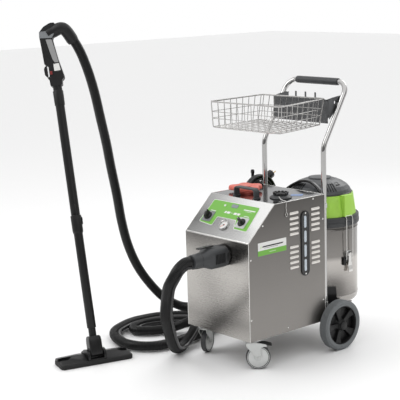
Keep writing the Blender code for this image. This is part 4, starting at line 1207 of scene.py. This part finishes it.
def casters():
    for side, x, trail in (("left", -CASTER_X, (-0.427, 0.904, 0)), ("right", CASTER_X, (0.651, 0.759, 0))):
        stand = at((x, CASTER_Y, 0), (0, 0, 1), trail)
        axle = stand @ at((CASTER_TRAIL, 0, CASTER_R), (0, 1, 0))

        def fork(bm):
            cheek = [(-0.0235, 0.1125), (0.0300, 0.1125), (0.0560, 0.1060), (0.0610, 0.1010),
                     (0.0590, 0.0960),
                     (0.0460, 0.0965), (0.0365, 0.0930), (0.0340, 0.0850), (CASTER_TRAIL + 0.0110, 0.0600),
                     (CASTER_TRAIL + 0.0100, 0.0405), (CASTER_TRAIL, 0.0365),
                     (CASTER_TRAIL - 0.0115, 0.0405),
                     (CASTER_TRAIL - 0.0160, 0.0600), (-0.0235, 0.0980)]
            outline = rounded(cheek, 0.005, 4)
            for low, high in ((-0.0186, -0.0156), (0.0156, 0.0186)):
                add_prism(bm, outline, low, high, "XZ")
            add_prism(bm, rounded([(-0.0240, -0.0182), (0.0240, -0.0182), (0.0240, 0.0182),
                                   (-0.0240, 0.0182)], 0.006, 4),
                      0.1085, 0.1128)
            add_turned(bm, [(0, 0.1120), (0.0262, 0.1120), (0.0272, 0.1150), (0.0250, 0.1200),
                            (0.0300, 0.1215),
                            (0.0320, 0.1240), (0.0310, 0.1262), (0, 0.1262)], 40)
            add_prism(bm, rounded([(-0.036, -0.036), (0.036, -0.036), (0.036, 0.036), (-0.036, 0.036)],
                                  0.008, 4),
                      0.1262, 0.1297)
            add_turned(bm, [(0, -0.0215), (0.0066, -0.0215), (0.0075, -0.0190), (0.0075, 0.0190),
                            (0.0066, 0.0215),
                            (0, 0.0215)], 6, at((CASTER_TRAIL, 0, CASTER_R), (0, 1, 0)))

        make(f"{side}_fork", "zinc", fork, f"{side}_caster", (f"{side}_caster_fork",), stand, bevel=0.0008)

        def wheel(bm):
            add_turned(bm, [(0.0045, -0.0120), (0.0160, -0.0120), (0.0170, -0.0092), (0.0385, -0.0088),
                            (0.0412, -0.0104), (0.0412, 0.0104), (0.0385, 0.0088), (0.0170, 0.0092),
                            (0.0160, 0.0120),
                            (0.0045, 0.0120)], 56)

        make(f"{side}_wheel_disc", "caster_disc", wheel, f"{side}_caster_wheel", (f"{side}_caster_wheel",),
             axle)

        def tread(bm):
            r = CASTER_R
            add_turned(bm, [(0.0408, -0.0108), (0.0440, -0.0114), (r - 0.0022, -0.0106),
                            (r - 0.0004, -0.0074), (r, 0.0),
                            (r - 0.0004, 0.0074), (r - 0.0022, 0.0106), (0.0440, 0.0114), (0.0408, 0.0108)],
                            64)

        make(f"{side}_wheel_tread", "dark_tyre", tread, f"{side}_caster_wheel", place=axle)

        def bead(bm):
            add_turned(bm, [(0.0432, -0.0118), (0.0452, -0.0118), (0.0452, 0.0118), (0.0432, 0.0118)], 64)

        make(f"{side}_wheel_bead", "caster_disc", bead, f"{side}_caster_wheel", place=axle)

        def pedal(bm):
            outline = rounded([(0.0, -0.0030), (0.0485, -0.0080), (0.0495, -0.0030), (0.0245, 0.0040),
                               (0.0, 0.0045)],
                              0.002, 3)
            add_prism(bm, outline, -0.0150, 0.0150, "XZ")
            for k in range(4):
                add_box(bm, (0.0280 + 0.0048 * k, -0.0120, 0.0022 - 0.0014 * k),
                        (0.0302 + 0.0048 * k, 0.0120, 0.0040 - 0.0014 * k))

        make(f"{side}_pedal", "black", pedal, f"{side}_brake_pedal", (f"{side}_brake_pedal",),
             stand @ moved((0.0315, 0, 0.1070)), bevel=0.0009)

    def axle_rod(bm):
        reach = WHEEL_OUT - 0.004
        add_turned(bm, [(0, -reach), (0.0076, -reach), (0.0079, -reach + 0.001), (0.0079, reach - 0.001),
                        (0.0076, reach), (0, reach)], 28)

    make("wheel_axle", "zinc", axle_rod, replaces=("rear_axle",),
         place=at((0, WHEEL_CENTRE[1], WHEEL_CENTRE[2]), (1, 0, 0)))


# ---------------------------------------------------------------- vacuum
def vacuum():
    here = moved(VAC)
    low, high = DRUM_Z
    r = DRUM_R

    def drum(bm):
        profile = [(0, low), (r - 0.022, low), (r - 0.010, low + 0.0045), (r - 0.003, low + 0.0135),
                   (r - 0.0008, low + 0.022)]
        for z in (low + 0.034, high - 0.014):
            profile += [(r - 0.0008, z - 0.004), (r + 0.0006, z - 0.002), (r + 0.0010, z),
                        (r + 0.0006, z + 0.002),
                        (r - 0.0008, z + 0.004)]
        profile += [(r - 0.0008, high), (r - 0.003, high), (r - 0.003, low + 0.024),
                    (r - 0.024, low + 0.004),
                    (0, low + 0.004)]
        add_turned(bm, profile, 112)

    make("drum_shell", "drum_steel", drum, replaces=("vacuum_drum",), place=here)

    def ring(bm):
        add_turned(bm, [(0.1415, high + 0.0003), (RING_R - 0.0030, high + 0.0003),
                        (RING_R - 0.0004, high + 0.0030),
                        (RING_R, high + 0.0060), (RING_R, high + 0.0180), (RING_R - 0.0022, high + 0.0195),
                        (RING_R - 0.0022, high + 0.0220), (RING_R - 0.0006, high + 0.0235),
                        (RING_R - 0.0006, RING_TOP - 0.0050), (RING_R - 0.0030, RING_TOP - 0.0008),
                        (0.1415, RING_TOP)], 112)
        for k in range(28):
            spin = Matrix.Rotation(2 * math.pi * (k + 0.5) / 28, 4, "Z")
            add_box(bm, (RING_R - 0.004, -0.0016, high + 0.0050), (RING_R + 0.0008, 0.0016, high + 0.0190),
                    spin)

    make("drum_rim", "grey", ring, replaces=("drum_ring",), place=here, bevel=0.0006)

    def band(bm):
        """The tapered band, with wide flats pressed into it and a boss over each latch."""
        segments = 144
        levels = 9
        rings = []
        for i in range(levels + 1):
            t = i / levels
            z = RING_TOP + 0.0004 + (BAND_TOP - RING_TOP - 0.0008) * t
            ring_points = []
            for k in range(segments):
                a = 2 * math.pi * k / segments
                radius = 0.1552 - 0.0125 * t
                step = abs((math.degrees(a) % 45) - 22.5)
                dent = max(0.0, 1.0 - (step / 6.5) ** 4) if 0.10 < t < 0.88 else 0.0
                radius -= 0.0050 * dent * min(1.0, 4.0 * min(t - 0.10, 0.88 - t) + 0.35)
                ring_points.append(Vector((radius * math.cos(a), radius * math.sin(a), z)))
            rings.append(ring_points)
        rings.append([Vector((0.1360 * math.cos(2 * math.pi * k / segments),
                              0.1360 * math.sin(2 * math.pi * k / segments),
                              BAND_TOP - 0.0002)) for k in range(segments)])
        add_loft(bm, rings)
        for sign in (-1, 1):
            for low_r, high_r in ((0.1400, 0.1668),):
                add_prism(bm, rounded([(sign * low_r, -0.0245), (sign * high_r, -0.0245),
                                       (sign * high_r, 0.0245),
                                       (sign * low_r, 0.0245)], 0.004, 4), RING_TOP + 0.002,
                                       BAND_TOP + 0.002)

    make("head_band_moulding", "green", band, replaces=("head_band",), place=here, sharp=28)
    paint("motor_dome", "dome")

    def dome_trim(bm):
        """Air slots and a raised collar on the dome."""
        rise = DOME_TOP - BAND_TOP
        for centre in (100, 260, -28):
            for k in range(6):
                a = math.radians(centre + 5.5 * (k - 2.5))
                path = []
                for m in range(7):
                    lift = math.radians(44 + 5 * m)
                    reach = (DOME_R + 0.0006) * math.sin(lift)
                    path.append(Vector((reach * math.cos(a), reach * math.sin(a),
                                        BAND_TOP + 0.0004 + rise * math.cos(lift))))
                add_wire(bm, path, 0.0021, 8)
        add_turned(bm, [(DOME_R - 0.0005, BAND_TOP + 0.0003), (DOME_R + 0.0040, BAND_TOP + 0.0003),
                        (DOME_R + 0.0042, BAND_TOP + 0.0030), (DOME_R + 0.0020, BAND_TOP + 0.0048),
                        (DOME_R - 0.0015, BAND_TOP + 0.0048)], 112)

    make("dome_trim", "gloss_black", dome_trim, place=here)

    def top_pad(bm):
        add_turned(bm, [(0.0, DOME_TOP - 0.0060), (0.0520, DOME_TOP - 0.0085), (0.0500, DOME_TOP - 0.0010),
                        (0.0300, DOME_TOP + 0.0010), (0.0, DOME_TOP + 0.0016)], 64)

    make("dome_pad", "dome", top_pad, place=here)

    def rocker(bm):
        outline = rounded([(-0.0080, -0.0060), (0.0080, -0.0080), (0.0078, 0.0082), (0.0, 0.0070),
                           (-0.0080, 0.0122)],
                          0.0018, 3)
        add_prism(bm, outline, -0.0100, 0.0100, "XZ")

    make("rocker", "gloss_black", rocker, "vacuum_switch", ("vacuum_switch",),
         here @ moved((0.1000, 0, 0.6700)),
         bevel=0.0007)

    def carry(bm):
        grip = [(-0.109, 0.500, 0.634), (-0.103, 0.499, 0.644), (-0.087, 0.501, 0.658),
                (-0.066, 0.503, 0.672),
                (-0.043, 0.506, 0.684), (-0.020, 0.508, 0.693), (0.004, 0.509, 0.697), (0.026, 0.509, 0.697),
                (0.046, 0.508, 0.693), (0.068, 0.505, 0.685), (0.088, 0.502, 0.674), (0.104, 0.499, 0.660),
                (0.111, 0.500, 0.645)]
        line = smooth_route([Vector(p) + Vector((0.008, -0.005, 0.0004)) for p in grip], 0.006)
        count = len(line) - 1
        scales = [0.85 + 0.35 * (1 - math.sin(math.pi * i / count)) ** 2 for i in range(len(line))]
        section = rounded([(-0.0090, -0.0062), (0.0090, -0.0062), (0.0090, 0.0062), (-0.0090, 0.0062)],
                          0.005, 4)
        add_sweep(bm, line, section, across=(0, 1, 0), scales=scales)

    make("carry_handle", "gloss_black", carry, replaces=("head_handle",))

    def feet(bm):
        add_turned(bm, [(0, 0.1463), (0.1240, 0.1463), (0.1250, 0.1500), (0.1240, 0.1600),
                        (0.1200, low - 0.0006),
                        (0, low - 0.0006)], 80)
        for degrees, top in ((-33, 0.250), (145, 0.215), (215, 0.215)):
            spin = Matrix.Rotation(math.radians(degrees), 4, "Z")
            lug = rounded([(0.108, 0.1463), (0.190, 0.1463), (0.1895, top - 0.030), (0.1780, top),
                           (0.1645, top + 0.001),
                           (0.1640, 0.1750), (0.1560, 0.1640), (0.108, 0.1600)], 0.004, 3)
            add_prism(bm, lug, -0.0240, 0.0240, "XZ", spin)

    make("drum_feet", "black", feet, replaces=("vacuum_base",), place=here, bevel=0.0012)

    for side, sign in (("left", -1), ("right", 1)):
        plane = at(VAC, (0, 0, 1), (sign, 0, 0))
        pivot = plane @ at((LATCH_R, 0, LATCH_Z))

        def lever(bm):
            outline = [(-0.0026, 0.0040), (0.0020, 0.0040), (0.0026, -0.0500), (0.0070, -0.0700),
                       (0.0062, -0.0780),
                       (0.0040, -0.0790), (0.0020, -0.0700), (-0.0026, -0.0500)]
            add_prism(bm, rounded(outline, 0.002, 3), -0.0125, 0.0125, "XZ")
            for y in (-0.0125, 0.0115):
                add_prism(bm, rounded([(-0.0030, 0.0055), (0.0056, 0.0055), (0.0056, -0.0300),
                                       (0.0030, -0.0480),
                                       (-0.0030, -0.0480)], 0.002, 3), y, y + 0.0012, "XZ")
            add_wire(bm, [(0.0004, -0.0150, 0), (0.0004, 0.0150, 0)], 0.0026, 12)

        make(f"{side}_lever", "bright_steel_and_highlight", lever, f"{side}_latch_lever", (f"{side}_latch_lever",), pivot,
             bevel=0.0005)

        def bail(bm):
            wire = bent([(0.0, -0.0190, -0.002), (0.0, -0.0190, 0.174), (-0.0065, -0.0190, 0.1875),
                         (-0.0065, 0.0190, 0.1875), (0.0, 0.0190, 0.174), (0.0, 0.0190, -0.002)],
                        (0.010, 0.006, 0.006, 0.010), 5)
            add_wire(bm, wire, 0.0019, 12)

        make(f"{side}_bail", "bright_steel_and_highlight", bail, f"{side}_latch_bail", (f"{side}_latch_bail",),
             plane @ at((LATCH_R, 0, LATCH_Z - 0.022)))

        def seat(bm):
            """The latch's riveted foot on the drum, and the two cheeks that hold the lever's pivot."""
            add_prism(bm, rounded([(-0.0150, LATCH_Z - 0.0360), (0.0150, LATCH_Z - 0.0360),
                                   (0.0150, LATCH_Z + 0.0120),
                                   (-0.0150, LATCH_Z + 0.0120)], 0.004, 4), DRUM_R - 0.0015,
                                   DRUM_R + 0.0020, "YZ")
            for y in (-0.0145, 0.0125):
                add_prism(bm, rounded([(DRUM_R, LATCH_Z - 0.0120), (LATCH_R + 0.0030, LATCH_Z - 0.0080),
                                       (LATCH_R + 0.0030, LATCH_Z + 0.0050), (DRUM_R, LATCH_Z + 0.0090)],
                                       0.002, 3),
                          y, y + 0.0020, "XZ")

        make(f"{side}_latch_foot", "zinc", seat, place=plane, bevel=0.0005)

        def block(bm):
            add_prism(bm, rounded([(-0.0330, LATCH_Z - 0.0480), (-0.0175, LATCH_Z - 0.0480),
                                   (-0.0175, LATCH_Z - 0.0150),
                                   (-0.0330, LATCH_Z - 0.0150)], 0.004, 4), DRUM_R - 0.0030,
                                   DRUM_R + 0.0070, "YZ")

        make(f"{side}_latch_bumper", "black", block, place=plane, bevel=0.0012)


# ---------------------------------------------------------------- hose plug
def hose_plug():
    here = at(SOCKET, (0, -1, 0), (1, 0, 0))

    def socket(bm):
        add_turned(bm, [(0.0240, -0.0600), (0.0290, -0.0600), (0.0290, 0.0003), (0.0405, 0.0003),
                        (0.0412, 0.0030),
                        (0.0400, 0.0052), (0.0345, 0.0060), (0.0330, 0.0050), (0.0240, 0.0050)], 64)
        for k in range(4):
            spin = Matrix.Rotation(math.radians(45 + 90 * k), 4, "Z")
            add_turned(bm, [(0, 0.0040), (0.0026, 0.0040), (0.0022, 0.0060), (0, 0.0064)], 10,
                       spin @ moved((0.0372, 0, 0)))

    make("plug_socket", "gloss_black", socket, replaces=("hose_socket",), place=here)

    def body(bm):
        """A round-cornered square body at the socket, narrowing to the round cuff of the hose."""
        stages = [(0.0054, 0.0395, 0.35), (0.0085, 0.0420, 0.45), (0.0200, 0.0430, 0.55),
                  (0.0560, 0.0432, 0.60),
                  (0.0880, 0.0425, 0.50), (0.0960, 0.0395, 0.40), (0.1060, 0.0355, 0.20),
                  (0.1180, 0.0328, 0.08),
                  (0.1300, 0.0312, 0.0), (0.1310, 0.0296, 0.0), (0.1345, 0.0296, 0.0), (0.1355, 0.0308, 0.0),
                  (0.1700, 0.0292, 0.0), (0.1720, 0.0276, 0.0)]
        rings = []
        for z, radius, square in stages:
            power = 2 + 4 * square
            ring = []
            for k in range(64):
                a = 2 * math.pi * k / 64
                c, s = math.cos(a), math.sin(a)
                swell = (abs(c) ** power + abs(s) ** power) ** (-1 / power)
                ring.append(Vector((radius * swell * 0.965 * c, radius * swell * 0.965 * s, z)))
            rings.append(ring)
        add_loft(bm, rings)

    make("plug_body", "grey", body, replaces=("hose_plug",), place=here, sharp=30)

    def details(bm):
        """The coupling ring, grip ribs on both flanks and the steam line's own cuff."""
        add_turned(bm, [(0.0360, 0.0062), (0.0432, 0.0062), (0.0442, 0.0085), (0.0442, 0.0150),
                        (0.0428, 0.0175),
                        (0.0360, 0.0175)], 64)
        for sign in (-1, 1):
            for k in range(7):
                z = 0.030 + 0.0075 * k
                add_box(bm, (sign * 0.0428 - 0.0014, -0.0200, z),
                        (sign * 0.0428 + 0.0014, 0.0200, z + 0.0036))
        add_turned(bm, [(0, 0.060), (0.0110, 0.060), (0.0125, 0.068), (0.0125, 0.118), (0.0095, 0.150),
                        (0, 0.150)], 28,
                   moved((-0.0220, -0.0280, 0)))

    make("plug_details", "black", details, place=here, bevel=0.0008)

    def latch(bm):
        outline = rounded([(-0.0350, -0.0020), (0.0, -0.0015), (0.0440, 0.0), (0.0440, 0.0050),
                           (0.0, 0.0048),
                           (-0.0350, 0.0032)], 0.0016, 3)
        add_prism(bm, outline, -0.0088, 0.0088, "YZ")
        for k in range(4):
            add_box(bm, (-0.0072, -0.0310 + 0.0050 * k, 0.0028), (0.0072, -0.0288 + 0.0050 * k, 0.0042))

    make("plug_latch_moulding", "gloss_black", latch, "plug_latch", ("plug_latch",),
         at(SOCKET + Vector((0, -0.104, 0.0465))), bevel=0.0007)


# ---------------------------------------------------------------- wand and floor nozzle
def wand():
    """The wand's frame has Z up its tube, and X towards the hose."""
    along = at(WAND_FOOT, WAND_AXIS, (0.651, 0.759, 0))
    r = 0.019
    joint = WAND_JOINT

    def lower(bm):
        add_turned(bm, [(0, 0.0), (r - 0.0008, 0.0), (r, 0.0012), (r, joint - 0.077),
                        (r + 0.0022, joint - 0.074),
                        (0.0226, joint - 0.065), (0.0228, joint - 0.0040), (0.0218, joint - 0.0010),
                        (0, joint)], 48)

    make("lower_wand", "tube", lower, replaces=("lower_tube",), place=along)

    def upper(bm):
        add_turned(bm, [(0, joint + 0.0003), (r - 0.0010, joint + 0.0003), (r, joint + 0.0015),
                        (r, WAND_TOP - 0.072),
                        (r + 0.0026, WAND_TOP - 0.070), (r + 0.0030, WAND_TOP - 0.012),
                        (r + 0.0020, WAND_TOP - 0.0090),
                        (r, WAND_TOP - 0.0080), (r, WAND_TOP + 0.010), (0, WAND_TOP + 0.010)], 48)

    make("upper_wand", "tube", upper, replaces=("upper_tube",), place=along)

    def button(bm):
        add_prism(bm, rounded([(-0.0065, joint + 0.012), (0.0065, joint + 0.012), (0.0050, joint + 0.046),
                               (-0.0050, joint + 0.046)], 0.003, 4), -r - 0.0040, -r + 0.0020, "XZ")
        add_prism(bm, rounded([(r - 0.001, joint - 0.046), (r + 0.0068, joint - 0.040),
                               (r + 0.0072, joint - 0.012),
                               (r - 0.001, joint - 0.004)], 0.003, 4), -0.0060, 0.0060, "XZ")

    make("wand_lock_button", "black", button, place=along, bevel=0.0010)

    grip = along @ moved((0, 0, WAND_TOP))

    def handle(bm):
        outline = [(0.0240, 0.0103), (0.0250, 0.0320), (0.0350, 0.0390), (0.0365, 0.0500), (0.0310, 0.0750),
                   (0.0210, 0.1220), (0.0145, 0.1660), (0.0085, 0.2130), (0.0210, 0.2320), (0.0285, 0.2790),
                   (0.0080, 0.2805), (-0.0220, 0.2675), (-0.0430, 0.2460), (-0.0447, 0.2230),
                   (-0.0418, 0.1740),
                   (-0.0398, 0.1200), (-0.0393, 0.1050), (-0.0237, 0.1000), (-0.0237, 0.0520),
                   (-0.0350, 0.0480),
                   (-0.0270, 0.0400), (-0.0260, 0.0103)]
        add_prism(bm, rounded(outline, 0.007, 4), -0.0208, 0.0208, "XZ")

    moulding = make("wand_grip", "black", handle, replaces=("wand_handle",), place=grip, bevel=0.0075)
    moulding.modifiers["Round edges"].segments = 5
    moulding.modifiers["Round edges"].angle_limit = math.radians(60)

    def shells(bm):
        """The raised rear shell at the handle."""
        outline = rounded([(0.0030, 0.1000), (0.0160, 0.1230), (0.0095, 0.1660), (0.0040, 0.2130),
                           (0.0150, 0.2360),
                           (0.0200, 0.2700), (0.0060, 0.2720), (-0.0180, 0.2600), (-0.0360, 0.2420),
                           (-0.0380, 0.2200),
                           (-0.0340, 0.1760), (-0.0240, 0.1500)], 0.006, 4)
        add_prism(bm, outline, -0.0222, 0.0222, "XZ")

    make("grip_shell", "black", shells, place=grip, bevel=0.0012)

    def strip(bm):
        edge = [(0.0225, 0.1080), (0.0195, 0.1220), (0.0130, 0.1660), (0.0060, 0.2080)]
        inner = [(-0.0190, 0.2110), (-0.0135, 0.1800), (-0.0075, 0.1500), (-0.0010, 0.1220),
                 (0.0060, 0.1090)]
        add_prism(bm, rounded(edge + inner, 0.002, 3), -0.0230, 0.0230, "XZ")

    make("grip_strip", "silver", strip, place=grip, bevel=0.0010)

    def collar(bm):
        add_prism(bm, rounded([(-0.0450, 0.2200), (0.0075, 0.2140), (0.0205, 0.2330), (0.0222, 0.2450),
                               (-0.0425, 0.2475)], 0.003, 3), -0.0228, 0.0228, "XZ")

    make("grip_collar", "plate_grey", collar, place=grip, bevel=0.0010)

    def label(bm):
        add_prism(bm, rounded([(-0.0010, 0.0735), (0.0255, 0.0735), (0.0225, 0.1040), (-0.0010, 0.1040)],
                              0.002, 3),
                  -0.0213, -0.0206, "XZ")

    make("grip_plate", "white", label, place=grip)

    def cuff(bm):
        """The smooth elbow that takes the end of the hose into the handle."""
        inside = grip @ Vector((-0.0100, 0, 0.2350))
        route = [Vector(p) for p in HOSE_ROUTE[-3:-1]] + [inside.lerp(Vector(HOSE_ROUTE[-1]), 0.5), inside]
        line = smooth_route(route, 0.004)[6:]
        scales = [0.90 + 0.10 * min(1.0, i / 3) for i in range(len(line))]
        add_sweep(bm, line, circle(0.0262, 28), scales=scales)

    make("grip_elbow", "black", cuff)

    def trigger(bm):
        outline = rounded([(0.0045, -0.0440), (0.0045, 0.0020), (-0.0035, 0.0040), (-0.0100, -0.0080),
                           (-0.0088, -0.0340), (-0.0010, -0.0440)], 0.003, 4)
        add_prism(bm, outline, -0.0118, 0.0118, "XZ")

    make("trigger", "gloss_black", trigger, "steam_trigger", ("steam_trigger",),
         grip @ moved((-0.0350, 0, 0.0970)),
         bevel=0.0016)

    def slide(bm):
        add_prism(bm, rounded([(-0.0050, -0.0070), (0.0050, -0.0070), (0.0050, 0.0070), (-0.0050, 0.0070)],
                              0.002, 4),
                  -0.0020, 0.0018, "XZ")
        for k in range(3):
            add_box(bm, (-0.0038, -0.0030, -0.0040 + 0.0034 * k), (0.0038, -0.0018, -0.0026 + 0.0034 * k))

    make("slide_button", "dark_red", slide, "safety_slide", ("safety_slide",),
         grip @ moved((-0.015, -0.0232, 0.067)),
         bevel=0.0006)


def nozzle():
    """The hinge lies along the nozzle, where the wand's axis meets it."""
    reach = (NOZZLE_HINGE_Z - WAND_FOOT.z) / WAND_AXIS.z
    hinge = WAND_FOOT + WAND_AXIS * reach

    def neck(bm):
        add_turned(bm, [(0, -0.0290), (0.0185, -0.0290), (0.0200, -0.0272), (0.0200, 0.0272),
                        (0.0185, 0.0290),
                        (0, 0.0290)], 48, at(hinge, NOZZLE_LONG))
        add_turned(bm, [(0, 0.0), (0.0175, 0.0), (0.0160, 0.0500), (0.0176, 0.0520), (0.0176, 0.0640),
                        (0.0155, 0.0660), (0.0155, -reach - 0.0003), (0, -reach - 0.0003)], 48,
                        at(hinge, WAND_AXIS))

    make("nozzle_elbow", "black", neck, replaces=("nozzle_neck",))

    here = at(hinge, (0, 0, 1), NOZZLE_LONG)
    sole = -NOZZLE_HINGE_Z
    half = NOZZLE_HALF

    def base(bm):
        corners = [(-half, -0.0320), (half, -0.0320), (half, 0.0680), (-half, 0.0680)]
        rings = []
        for inset, z in ((0.0020, 0.0010), (0.0004, 0.0030), (0, 0.0100), (0, 0.0170), (0.0022, 0.0200),
                         (0.0060, 0.0215)):
            shrunk = [(u - math.copysign(inset, u), v - math.copysign(inset, v - 0.018)) for u, v in corners]
            rings.append([Vector((u, v, sole + z)) for u, v in rounded(shrunk, 0.014, 6)])
        add_loft(bm, rings)
        for v in (-0.0345 + 0.0060, 0.0680 - 0.0035):
            for k in range(64):
                u = -half + 0.012 + (2 * half - 0.024) * k / 63
                add_box(bm, (u - 0.0019, v - 0.0020, sole), (u + 0.0012, v + 0.0020, sole + 0.0040))

    make("nozzle_base", "bristle", base, "nozzle_body", ("nozzle_body",), here)

    def wings(bm):
        """Two shells on each side of the neck, parted by a groove that ends in an opening."""
        for sign in (-1, 1):
            inner, outer = 0.0390, half - 0.0030
            front_low, back_high = -0.0300, 0.0660
            for v0, v1 in ((front_low, 0.0135), (0.0180, back_high)):
                near = [(inner, v0), (outer, v0), (outer, v1), (outer - 0.030, v1),
                        (outer - 0.044, v1 + 0.0), (inner, v1)]
                if v1 < 0.02:
                    near = [(inner, v0), (outer, v0), (outer, v1 - 0.012), (outer - 0.024, v1 - 0.016),
                            (outer - 0.040, v1 - 0.012), (outer - 0.056, v1), (inner, v1)]
                else:
                    near = [(inner, v1), (outer, v1), (outer, v0 + 0.012), (outer - 0.024, v0 + 0.016),
                            (outer - 0.040, v0 + 0.012), (outer - 0.056, v0), (inner, v0)]
                outline = rounded([(sign * u, v) for u, v in near], 0.006, 4)
                centre = Vector((sum(p[0] for p in outline), sum(p[1] for p in outline))) / len(outline)
                rings = []
                for shrink, below in ((1.0, None), (1.0, 0.0050), (0.985, 0.0022), (0.955, 0.0006),
                                      (0.90, 0.0)):
                    ring = []
                    for u, v in outline:
                        p = centre + (Vector((u, v)) - centre) * shrink
                        top = 0.0405 - 0.46 * max(0.0, 0.012 - p.y) - 0.19 * max(0.0, p.y - 0.012)
                        top -= 0.0045 * ((abs(p.x) - inner) / (outer - inner)) ** 2
                        ring.append(Vector((p.x, p.y, sole + (0.0150 if below is None else top - below))))
                    rings.append(ring)
                add_loft(bm, rings)

    make("nozzle_wings", "nozzle_black", wings, "nozzle_body", place=here, sharp=50)

    def yoke(bm):
        """The two cheeks that hold the elbow, and the raised block between the wings."""
        for sign in (-1, 1):
            outline = rounded([(-0.0300, sole + 0.0190), (0.0660, sole + 0.0190), (0.0640, sole + 0.0340),
                               (0.0260, sole + 0.0560), (-0.0040, sole + 0.0620), (-0.0240, sole + 0.0560),
                               (-0.0300, sole + 0.0400)], 0.008, 5)
            low_u, high_u = sorted((sign * 0.0302, sign * 0.0400))
            add_prism(bm, outline, low_u, high_u, "YZ")
        outline = rounded([(-0.0300, sole + 0.0190), (0.0660, sole + 0.0190), (0.0630, sole + 0.0260),
                           (-0.0300, sole + 0.0260)], 0.003, 3)
        add_prism(bm, outline, -0.0302, 0.0302, "YZ")

    make("nozzle_yoke", "nozzle_black", yoke, "nozzle_body", place=here, bevel=0.0026)

    def hood(bm):
        """The block over the elbow, leaning back with it."""
        lean = at(hinge, WAND_AXIS, NOZZLE_LONG)
        corners = [(-0.0275, -0.0270), (0.0275, -0.0270), (0.0275, 0.0230), (-0.0275, 0.0230)]
        rings = []
        for scale, z in ((0.92, -0.0100), (1.0, 0.0), (1.0, 0.0450), (0.94, 0.0600), (0.80, 0.0660)):
            rings.append([lean @ Vector((u * scale, v * scale, z)) for u, v in rounded(corners, 0.008, 5)])
        add_loft(bm, rings)

    make("elbow_block", "nozzle_black", hood)


# ---------------------------------------------------------------- the whole
camera_and_lights()
steam_hose()
mains_cable()
for node_name, look in {
    "top_cover": "top_steel", "rear_panel": "side_steel", "left_side_panel": "side_steel",
    "right_side_panel": "side_steel", "chassis_tray": "side_steel", "rear_platform": "side_steel",
    "boiler": "drum_steel", "pump": "brass", "water_tank": "tank",
}.items():
    paint(node_name, look)
housing()
control_panel()
top_fittings()
push_handle()
basket()
rear_wheels()
casters()
vacuum()
hose_plug()
wand()
nozzle()
